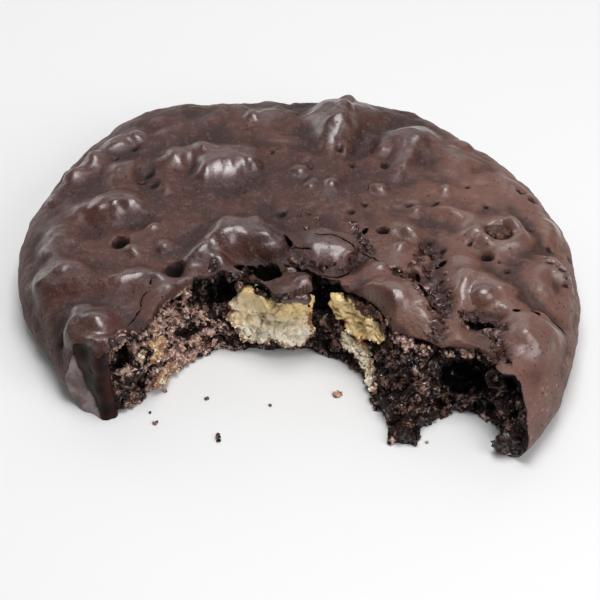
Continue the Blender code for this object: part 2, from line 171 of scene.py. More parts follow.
def cut(obj, cutter, operation="DIFFERENCE"):
    # the fresh faces take the cutter's material; the cutter is used up
    settings = {"operation": operation, "solver": "MANIFOLD", "material_mode": "TRANSFER"}
    addModifier(obj, "BOOLEAN", object=cutter, **settings)
    applyModifiers(obj)
    discard(cutter)


def pointsOf(obj):
    points = np.empty(len(obj.data.vertices) * 3)
    obj.data.vertices.foreach_get("co", points)
    normals = np.empty(len(obj.data.vertices) * 3)
    obj.data.vertex_normals.foreach_get("vector", normals)
    return points.reshape(-1, 3) / mm, normals.reshape(-1, 3)


def setPoints(obj, points, lowest=-math.inf):
    # the given points too are raised to the lowest height
    np.maximum(points[:, 2], lowest, out=points[:, 2])
    obj.data.vertices.foreach_set("co", (points * mm).ravel())
    obj.data.update()


def roughen(obj, uneven):
    # moves each point along its normal by what uneven makes of the points
    points, facing = pointsOf(obj)
    setPoints(obj, points + facing * uneven(points)[:, None])
    return obj


def paint(obj, name, values):
    # one number for each point, which a material reads by name
    layer = obj.data.attributes.get(name) or obj.data.attributes.new(name, "FLOAT", "POINT")
    layer.data.foreach_set("value", np.asarray(values, np.float32))


def noiseAt(points, size, seed):
    # smooth noise from -1 to 1, with features of the given size
    offset = np.array((seed * 7.3, seed * 3.1, seed * 5.7))
    return np.array([noise.noise(place) for place in (points / size + offset).tolist()])


def cellsAt(points, size, seed):
    # scattered centres: distance to the nearest in shares of size, how much further the next one is,
    # and the nearest one's own random number
    spots = points / size
    base = np.floor(spots).astype(np.int64)
    nearest, second = np.full(len(points), 9.0), np.full(len(points), 9.0)
    mark = np.zeros(len(points))
    for step in np.ndindex(3, 3, 3):
        cell = base + np.array(step) - 1
        key = (cell * (73856093, 19349663, 83492791)).sum(axis=1) + seed * 40503
        draws = []
        for _ in range(3):
            key = key & 0x7FFFFFFF
            key = ((key ^ (key >> 15)) * 1274126177) & 0x7FFFFFFF
            key = key ^ (key >> 13)
            draws.append(key / 0x7FFFFFFF)
        centre = cell + np.column_stack(draws)
        away = np.linalg.norm(centre - spots, axis=1)
        closer = away < nearest
        second = np.where(closer, nearest, np.minimum(second, away))
        nearest = np.where(closer, away, nearest)
        mark = np.where(closer, draws[1], mark)
    return nearest, second - nearest, mark


def ease(values, low, high):
    share = np.clip((values - low) / (high - low), 0.0, 1.0)
    return share * share * (3.0 - 2.0 * share)


def softLeast(first, second, soft):
    # the smaller of two, rounded off where they meet
    return -soft * np.logaddexp(-first / soft, -second / soft)


def ovalShares(away, length, width, turn):
    # places along and across a turned oval, in shares of its half length and half width
    cos, sin = math.cos(math.radians(turn)), math.sin(math.radians(turn))
    along = (away[:, 0] * cos + away[:, 1] * sin) / length
    return along, (away[:, 1] * cos - away[:, 0] * sin) / width


def ballShare(points, ball, grow=0.0):
    # distance from an ellipsoid's centre, in shares of its half sizes
    return np.linalg.norm((points - ball[:3]) / (np.array(ball[3:]) + grow), axis=1)


def outlineShare(angle):
    depth, turn, spread = cookie["pressed"]
    aside = (angle - math.radians(turn) + math.pi) % math.tau - math.pi
    pressed = depth * np.exp(-((aside / math.radians(spread)) ** 2))
    return 1.0 - pressed + sum(
        share * np.cos(count * (angle - math.radians(turn))) for share, count, turn in cookie["lobes"]
    )


def crustHeight(x, y):
    # height of the smooth top, before lumps
    x, y = x - cookie["discCentre"][0], y - cookie["discCentre"][1]
    out = math.hypot(x, y) / outlineShare(math.atan2(y, x))
    flat = cookie["radius"] - cookie["rimWidth"]
    top = cookie["height"] - cookie["dome"]
    if out <= flat:
        return cookie["height"] - cookie["dome"] * (out / flat) ** 2
    over = min((out - flat) / cookie["rimWidth"], 1.0)
    return cookie["waist"] + (top - cookie["waist"]) * math.sqrt(1.0 - over**2)


def halfSection():
    # the round's half section as distances out and heights, from the top's middle to the foot
    radius, height, dome, rimWidth, waist, footTuck = (
        cookie[name] for name in ("radius", "height", "dome", "rimWidth", "waist", "footTuck")
    )
    flat = radius - rimWidth
    out = np.linspace(0.0, flat, 60, endpoint=False)
    top = np.column_stack((out, height - dome * (out / flat) ** 2))
    turn = np.linspace(math.pi / 2, 0.0, 50)
    rim = np.column_stack((flat + rimWidth * np.cos(turn), waist + (height - dome - waist) * np.sin(turn)))
    turn = np.linspace(0.0, math.pi / 2, 20)[1:]
    foot = np.column_stack((radius - footTuck * (1.0 - np.cos(turn)), waist * (1.0 - np.sin(turn))))
    return np.concatenate((top, rim, foot))


def roundGrid(steps):
    # a square net laid over the round: places and outward normals, closest together near the bite
    side = np.linspace(-1.0, 1.0, steps)
    fine = np.linspace(-1.0, 1.0, 400)
    close = np.cumsum(1.0 / (1.0 - 0.45 * np.exp(-(((fine + 0.28) / 0.4) ** 2))))
    close = 2.0 * (close - close[0]) / (close[-1] - close[0]) - 1.0
    u, v = np.meshgrid(side, np.interp(side, close, fine), indexing="ij")
    wide = np.abs(u) > np.abs(v)
    safeU, safeV = np.where(u == 0, 1.0, u), np.where(v == 0, 1.0, v)
    reach = np.where(wide, u, v)
    turn = np.where(wide, math.pi / 4 * v / safeU, math.pi / 2 - math.pi / 4 * u / safeV)
    reach, turn = np.abs(reach), np.where(reach < 0, turn + math.pi, turn)
    section = halfSection()
    run = np.concatenate(([0.0], np.cumsum(np.linalg.norm(np.diff(section, axis=0), axis=1))))
    out = np.interp(reach * run[-1], run, section[:, 0])
    height = np.interp(reach * run[-1], run, section[:, 1])
    turn = np.arctan2(np.sin(turn), np.cos(turn))
    share = outlineShare(turn)
    x, y = cookie["discCentre"]
    places = np.stack((out * np.cos(turn) * share + x, out * np.sin(turn) * share + y, height), axis=-1)
    normals = np.cross(np.gradient(places, axis=0), np.gradient(places, axis=1))
    normals /= np.linalg.norm(normals, axis=2)[:, :, None]
    return places.reshape(-1, 3), normals.reshape(-1, 3)


def lumpRise(points, lump, fullest=9.0, power=2.0):
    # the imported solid's lumps have soft feet; a lower power gives domes
    x, y, length, width, turn, height, fullness = lump
    away = points - (x, y, crustHeight(x, y))
    along, across = ovalShares(away, length, width, turn)
    upward = away[:, 2] / (0.5 * (length + width))
    out = np.sqrt(along**2 + across**2 + upward**2)
    return height * np.clip(1.0 - out ** min(fullness, fullest), 0.0, 1.0) ** power


def lineAway(points, places):
    # distance from a line of places on the crust
    ends = [np.array((x, y, crustHeight(x, y))) for x, y in places]
    nearest = np.full(len(points), np.inf)
    for start, end in zip(ends, ends[1:]):
        run = end - start
        share = np.clip((points - start) @ run / (run @ run), 0.0, 1.0)
        away = np.linalg.norm(points - start - share[:, None] * run, axis=1)
        nearest = np.minimum(nearest, away)
    return nearest


def lineRise(points, places, width, height, power=2.0):
    return height * np.clip(1.0 - (lineAway(points, places) / width) ** 2, 0.0, 1.0) ** power


def mainRise(points, fullest=9.0, power=2.0):
    rise = 0.5 * noiseAt(points, 9.0, 1) + 0.25 * noiseAt(points, 4.0, 2)
    for lump in cookie["lumps"]:
        rise += lumpRise(points, lump, fullest, power)
    for fold in cookie["folds"]:
        rise += lineRise(points, *fold, power)
    return rise


def scallopAt(scallop, share):
    # x, y and radius at this share of the bite's top
    return (foot + (top - foot) * share for foot, top in zip(scallop[:3], scallop[3:]))


def wallDistance(points, upright=False):
    # distance in front of the bite's torn face: below zero in the food
    share = points[:, 2] / bite["top"]
    if upright:
        share = np.minimum(share, bite["edgeHeight"] / bite["top"])
    nearest = np.full(len(points), np.inf)
    for scallop in bite["scallops"]:
        x, y, radius = scallopAt(scallop, share)
        nearest = np.minimum(nearest, np.hypot(points[:, 0] - x, points[:, 1] - y) - radius)
    return -nearest


def draped(places, lip):
    # beside the bite the top sinks to lie on the torn face's slope
    low, high = np.full(len(places), bite["edgeHeight"]), np.full(len(places), overhead)
    for _ in range(12):
        level = (low + high) / 2
        held = wallDistance(np.column_stack((places[:, :2], level))) < 0.0
        low, high = np.where(held, level, low), np.where(held, high, level)
    return np.column_stack((places[:, :2], softLeast(places[:, 2], high + lip, 0.6)))


def closedRound(name, steps, places, rings=5):
    # the net as a mesh, closed below by rings that run in to the middle of the base
    index = np.arange(steps * steps).reshape(steps, steps)
    quads = np.stack((index[:-1, :-1], index[1:, :-1], index[1:, 1:], index[:-1, 1:]), axis=-1)
    faces = quads.reshape(-1, 4).tolist()
    edge = np.concatenate((index[:-1, 0], index[-1, :-1], index[:0:-1, -1], index[0, :0:-1]))
    middle = np.array((*cookie["discCentre"], 0.0))
    verts = [places]
    last = edge.tolist()
    count = len(places)
    for ring in range(1, rings):
        level = middle + (places[edge] - middle) * (1.0 - (ring / rings) ** 1.4)
        level[:, 2] = 0.12 + 0.1 * noiseAt(level, 6.0, 9)
        verts.append(level)
        new = list(range(count, count + len(level)))
        count += len(level)
        for k in range(len(last)):
            after = (k + 1) % len(last)
            faces.append((last[after], last[k], new[k], new[after]))
        last = new
    verts.append(middle[None] + (0.0, 0.0, 0.12))
    faces += [(last[(k + 1) % len(last)], last[k], count) for k in range(len(last))]
    return meshObject(name, np.concatenate(verts), faces)


def toothCone(scallop, grow, forward, upright):
    turn = np.linspace(0.0, math.tau, coneSides, endpoint=False)
    verts, faces = [], []
    for height in (-3.0, bite["edgeHeight"], overhead):
        share = (min(height, bite["edgeHeight"]) if upright else height) / bite["top"]
        x, y, radius = scallopAt(scallop, share)
        x, y = x + (radius + grow) * np.cos(turn), y - forward + (radius + grow) * np.sin(turn)
        verts.append(np.column_stack((x, y, np.full(coneSides, height))))
    for first in (0, coneSides):
        for k in range(coneSides):
            near, far = first + k, first + (k + 1) % coneSides
            faces.append((near, far, coneSides + far, coneSides + near))
    faces += [tuple(range(coneSides - 1, -1, -1)), tuple(range(2 * coneSides, 3 * coneSides))]
    return meshObject("cone", np.concatenate(verts), faces)


def keepLargest(obj):
    # drops loose scraps that cutting left

    def dropScraps(shape):
        left = set(shape.verts)
        largest = []
        while left:
            piece = [left.pop()]
            for vertex in piece:
                near = {edge.other_vert(vertex) for edge in vertex.link_edges} & left
                left -= near
                piece.extend(near)
            largest = max(largest, piece, key=len)
        kept = set(largest)
        bmesh.ops.delete(shape, geom=[v for v in shape.verts if v not in kept], context="VERTS")

    reshape(obj.data, dropScraps)


def joined(name, objs):
    # several meshes as one, with loose parts
    first, *others = objs
    first.name = name
    reshape(first.data, lambda whole: [whole.from_mesh(other.data) for other in others])
    discard(*others)
    return first


def biteBlock(grow=0.0, forward=0.0, voxel=0.8, upright=False):
    cones = [toothCone(scallop, grow, forward, upright) for scallop in bite["scallops"]]
    return remesh(joined("biteBlock", cones), voxel)


def ellipsoid(ball, grow=0.0, divisions=4):
    x, y, z, rx, ry, rz = ball
    size = Matrix.Diagonal(((rx + grow) * mm, (ry + grow) * mm, (rz + grow) * mm, 1.0))
    settings = {"subdivisions": divisions, "radius": 1.0}
    settings["matrix"] = Matrix.Translation((x * mm, y * mm, z * mm)) @ size
    mesh = bpy.data.meshes.new("ball")
    return newObject("ball", reshape(mesh, lambda shape: bmesh.ops.create_icosphere(shape, **settings)))


def settle(obj, smoothAngle=40):
    # moves a finished piece into the frame and shades it
    x, y = cookie["boxCentre"]
    obj.data.transform(Matrix.Translation((-x * mm, -y * mm, 0.0)))
    obj.data.shade_smooth()
    obj.data.set_sharp_from_angle(angle=math.radians(smoothAngle))
    return obj


# A socket that reads as a number: an expression on it adds Math nodes
class Wire:
    def __init__(self, nodes, socket):
        self.nodes, self.socket = nodes, socket

    def maths(self, operation, *values):
        return self.nodes.add("ShaderNodeMath", dict(enumerate(values)), operation=operation)

    def __add__(self, other):
        return self.maths("ADD", self, other)

    def __sub__(self, other):
        return self.maths("SUBTRACT", self, other)

    def __mul__(self, other):
        return self.maths("MULTIPLY", self, other)

    def __rsub__(self, other):
        return self.maths("SUBTRACT", other, self)

    __radd__ = __add__
    __rmul__ = __mul__

    def atMost(self, other):
        return self.maths("MINIMUM", self, other)

    def atLeast(self, other):
        return self.maths("MAXIMUM", self, other)

    def ease(self, low, high):
        sockets = {"Value": self, "From Min": low, "From Max": high}
        return self.nodes.add("ShaderNodeMapRange", sockets, interpolation_type="SMOOTHSTEP")


# Nodes of one tree, each added with its settings first and then its sockets' values or links
class Nodes:
    def __init__(self, tree):
        self.tree = tree

    def add(self, kind, sockets=None, out=0, **settings):
        node = self.tree.nodes.new(kind)
        for name, value in settings.items():
            setattr(node, name, value)
        for name, value in (sockets or {}).items():
            self.plug(node.inputs[name], value)
        return Wire(self, node.outputs[out])

    def plug(self, socket, value):
        if isinstance(value, Wire):
            self.tree.links.new(value.socket, socket)
        elif isinstance(value, tuple) and socket.type == "RGBA":
            socket.default_value = (*value, 1.0)
        else:
            socket.default_value = value

    def vector(self, operation, *sockets, **scale):
        return self.add("ShaderNodeVectorMath", dict(enumerate(sockets)) | scale, operation=operation)


# A material: a Principled shader that expressions feed
class Finish(Nodes):
    def __init__(self, name, **constants):
        self.material = bpy.data.materials.new(name)
        self.material.use_nodes = True
        super().__init__(self.material.node_tree)
        self.shader = self.tree.nodes["Principled BSDF"]
        self.feed(**constants)
        self.place = self.add("ShaderNodeTexCoord", out="Object")

    def feed(self, **sockets):
        for name, value in sockets.items():
            self.plug(self.shader.inputs[name.replace("_", " ")], value)
        return self.material

    def speckle(self, size, detail=2.0, roughness=0.5, distortion=0.0, shift=0.0):
        # noise from 0 to 1 with features of this many millimetres
        place = self.vector("ADD", self.place, (shift, shift, shift)) if shift else self.place
        sockets = {"Vector": place, "Scale": 1.0 / (size * mm), "Detail": detail}
        return self.add("ShaderNodeTexNoise", sockets | {"Roughness": roughness, "Distortion": distortion})

    def grains(self, size, out="Distance"):
        return self.add("ShaderNodeTexVoronoi", {"Vector": self.place, "Scale": 1.0 / (size * mm)}, out)

    def spots(self, size, low, high):
        # round spots: 1 within low, 0 beyond high
        return 1.0 - self.grains(size).ease(low, high)

    def draw(self, size):
        # a random number for each grain
        return self.add("ShaderNodeSeparateColor", {"Color": self.grains(size, "Color")})

    def painted(self, names):
        return [self.add("ShaderNodeAttribute", out="Fac", attribute_name=name) for name in names.split()]

    def mix(self, factor, first, second):
        return self.add("ShaderNodeMix", {0: factor, 6: first, 7: second}, 2, data_type="RGBA")

    def layered(self, colour, *layers):
        # each layer's colour covers those before it by its share
        for share, shade in layers:
            colour = self.mix(share, colour, shade)
        return colour

    def relief(self, *bumps):
        # bumps on bumps: height, distance in millimetres, strength
        normal = {}
        for height, distance, strength in bumps:
            sockets = {"Height": height, "Distance": distance * mm, "Strength": strength}
            normal = {"Normal": self.add("ShaderNodeBump", sockets | normal)}
        return normal["Normal"]


def crustFinish():
    constants = {"IOR": 1.52, "Coat_Roughness": 0.27, "Coat_IOR": 1.6, "Specular_IOR_Level": 0.4}
    finish = Finish("crustFinish", Specular_Tint=(1.0, 0.9, 0.95), **constants)
    lump, bare, broken, sunk = finish.painted("lump bare broken sunk")
    marked, side, dry, crisp = finish.painted("marked side dry crisp")
    broad = finish.speckle(14.0, 3.0, 0.6)
    middle = finish.speckle(4.2, 4.0, 0.62)
    mottle = finish.speckle(1.4, 4.0, 0.7, shift=0.21)
    fine = finish.speckle(0.5, 3.0, 0.7)
    tone = (broad * 0.4 + middle * 0.35 + mottle * 0.25).ease(0.4, 0.6)
    flecks = finish.spots(1.3, 0.12, 0.3) * side * dry * mottle.ease(0.44, 0.54)
    dust = (fine * 0.6 + mottle * 0.4).ease(0.53, 0.62) * (1.0 - bare * 0.6)
    specks = finish.spots(2.6, 0.04, 0.13) * broad.ease(0.46, 0.55)
    small = finish.spots(1.15, 0.08, 0.28) * (middle.ease(0.48, 0.58) + side * 0.6)
    # spots: painted shade in the pits; dark adds them to the dark specks and pores
    spots = (marked + (mottle - 0.5) * 1.3 + (fine - 0.5) * 0.8).ease(0.42, 0.6) * marked.ease(0.02, 0.12)
    dark = (specks + small * 0.75 + spots).atMost(1.0)
    colour = finish.layered(
        finish.mix(tone, (0.030, 0.0074, 0.0035), (0.092, 0.0315, 0.0170)),
        (middle.ease(0.53, 0.66) * 0.6, (0.046, 0.0095, 0.004)),
        # darker on the left and back, paler toward the right and front, also on the flanks: partly drier
        # crust, partly painted light from the right and painted shade on the left
        ((1.0 - dry) * 0.35, (0.020, 0.005, 0.003)),
        (dry * 0.55, (0.165, 0.078, 0.056)),
        (side * (0.3 + dry * 0.4), (0.160, 0.092, 0.074)),
        (flecks * 0.7, (0.40, 0.27, 0.22)),
        # painted shade: the hollows between lumps are painted darker
        (sunk * 0.8, (0.014, 0.004, 0.002)),
        # darker red patches: partly bare skin, partly painted shade on the lumps' steep faces
        (bare * 0.8, (0.052, 0.011, 0.0045)),
        (broken * mottle.ease(0.42, 0.6) * 0.7, (0.034, 0.012, 0.008)),
        (dust * 0.45, (0.16, 0.080, 0.060)),
        (dark * 0.9, (0.006, 0.003, 0.003)),
    )
    crisp = crisp * 0.6 + 0.4
    relief = finish.relief(
        (middle, 0.3, 0.3),
        (mottle * (crisp + side * 0.6), 0.38, 0.65),
        (fine * (crisp + side), 0.16, 0.8),
        (finish.draw(0.75) * broken, 0.3, 0.8),
    )
    rough = 0.44 + (fine - 0.5) * 0.15 + (middle - 0.5) * 0.3 - lump * (0.08 + bare * 0.12)
    rough = rough - broken * 0.12 + dark * 0.4 + side * 0.16 + sunk * 0.16
    coat = (lump * (0.75 + bare * 0.25) + broken * 0.35) * (1.0 - dark) * (1.0 - side * 0.7)
    rough = rough.atLeast(0.2).atMost(0.95)
    return finish.feed(Base_Color=colour, Roughness=rough, Normal=relief, Coat_Weight=coat)


def crumbFinish():
    finish = Finish("crumbFinish", IOR=1.4, Specular_IOR_Level=0.16, Coat_Roughness=0.12)
    warm, raised, wet, rim, deep = finish.painted("warm raised wet rim deep")
    patch = finish.speckle(2.6, 4.0, 0.62)
    blotch = patch.ease(0.35, 0.65)
    fine = finish.speckle(0.35, 3.0, 0.7)
    draw = finish.draw(0.5)
    dark = finish.mix(fine.ease(0.35, 0.65), (0.003, 0.002, 0.002), (0.042, 0.023, 0.020))
    pale = finish.mix(draw, (0.085, 0.034, 0.025), (0.68, 0.46, 0.39))
    brown = finish.mix(draw, (0.045, 0.020, 0.015), (0.27, 0.150, 0.118))
    tan = finish.speckle(1.6, 2.0, 0.6, shift=0.37).ease(0.58, 0.66)
    pale = finish.mix(tan * 0.7, pale, (0.52, 0.27, 0.12))
    light = finish.mix(warm.ease(0.25, 0.6), brown, pale)
    # crevices painted dark as shade and tops lighter: partly painted shade, partly drier crumb on top
    share = (raised * 0.9 + draw * 0.5 + (patch - 0.5) * 4.8 + warm * 0.75 - 0.95).ease(0.0, 0.4)
    glossy = finish.mix(blotch, (0.005, 0.001, 0.0005), (0.028, 0.0045, 0.0015))
    # painted reflection: the skin folded over the tip's edge is painted a light lavender sheen
    sheenBand = (rim + (patch - 0.5) * 0.6).ease(0.25, 0.7)
    foldSheen = finish.mix(blotch, (0.150, 0.105, 0.098), (0.290, 0.235, 0.235))
    colour = finish.layered(
        finish.mix(share, dark, light),
        (wet, finish.mix(sheenBand, glossy, foldSheen)),
        # painted shade: the holes and hollows are painted near black
        ((deep * 1.1).atMost(1.0), (0.0008, 0.0006, 0.0006)),
    )
    dry = 1.0 - wet
    relief = finish.relief((fine * dry, 0.28, 0.9), (draw * dry, 0.28, 0.8), (patch * wet, 0.4, 0.4))
    moist = draw.ease(0.5, 0.62) * (1.0 - warm * 0.6) * dry
    rough = 0.6 + (fine - 0.5) * 0.4 - moist * 0.36 - wet * 0.3 + sheenBand * wet * 0.2 + deep * 0.4
    coat = (moist * 0.9 + wet * 0.05) * (1.0 - deep)
    return finish.feed(Base_Color=colour, Roughness=rough.atLeast(0.1), Normal=relief, Coat_Weight=coat)


def walnutFinish():
    constants = {"IOR": 1.45, "Subsurface_Weight": 0.08, "Subsurface_Radius": (0.001, 0.0007, 0.0004)}
    finish = Finish("walnutFinish", **constants)
    skin, pale, yellow, dull, edge, raised = finish.painted("skin pale yellow dull edge raised")
    patch = finish.speckle(2.4, 4.0, 0.65, distortion=0.5)
    middle = finish.speckle(0.9, 3.0, 0.65)
    fine = finish.speckle(0.3, 3.0, 0.7)
    amber = finish.mix(patch.ease(0.42, 0.58), (0.84, 0.66, 0.33), (0.74, 0.43, 0.09))
    rusty = (middle * 0.5 + fine * 0.5 + edge * 0.22).ease(0.55, 0.63)
    specks = finish.spots(0.9, 0.08, 0.22) * middle.ease(0.5, 0.62)
    flesh = finish.layered(
        finish.mix(patch.ease(0.4, 0.6), (0.76, 0.58, 0.33), (0.92, 0.79, 0.56)),
        (yellow * (0.35 + middle * 0.6), amber),
        (pale * (0.45 + middle * 0.8).atMost(1.0), (0.94, 0.88, 0.72)),
        (dull * patch.ease(0.35, 0.55) * 0.85, (0.30, 0.31, 0.23)),
        # painted shade in the crevices between the flesh's lumps
        ((1.0 - raised) * 0.5, (0.30, 0.20, 0.10)),
        (rusty * (patch.ease(0.42, 0.56) * 0.6 + edge * 0.6).atMost(0.9), (0.24, 0.075, 0.018)),
        (specks * 0.8, (0.035, 0.022, 0.018)),
    )
    husk = (middle * 0.6 + fine * 0.4).ease(0.46, 0.66)
    skinned = (skin + (fine - 0.5) * 1.5 + (middle - 0.5) * 1.6).ease(0.4, 0.6)
    colour = finish.mix(skinned, flesh, finish.mix(husk, (0.020, 0.006, 0.005), (0.20, 0.066, 0.024)))
    relief = finish.relief((fine, 0.2, 0.9), (middle, 0.35, 0.7))
    return finish.feed(Base_Color=colour, Roughness=0.55 - skinned * 0.22, Normal=relief)


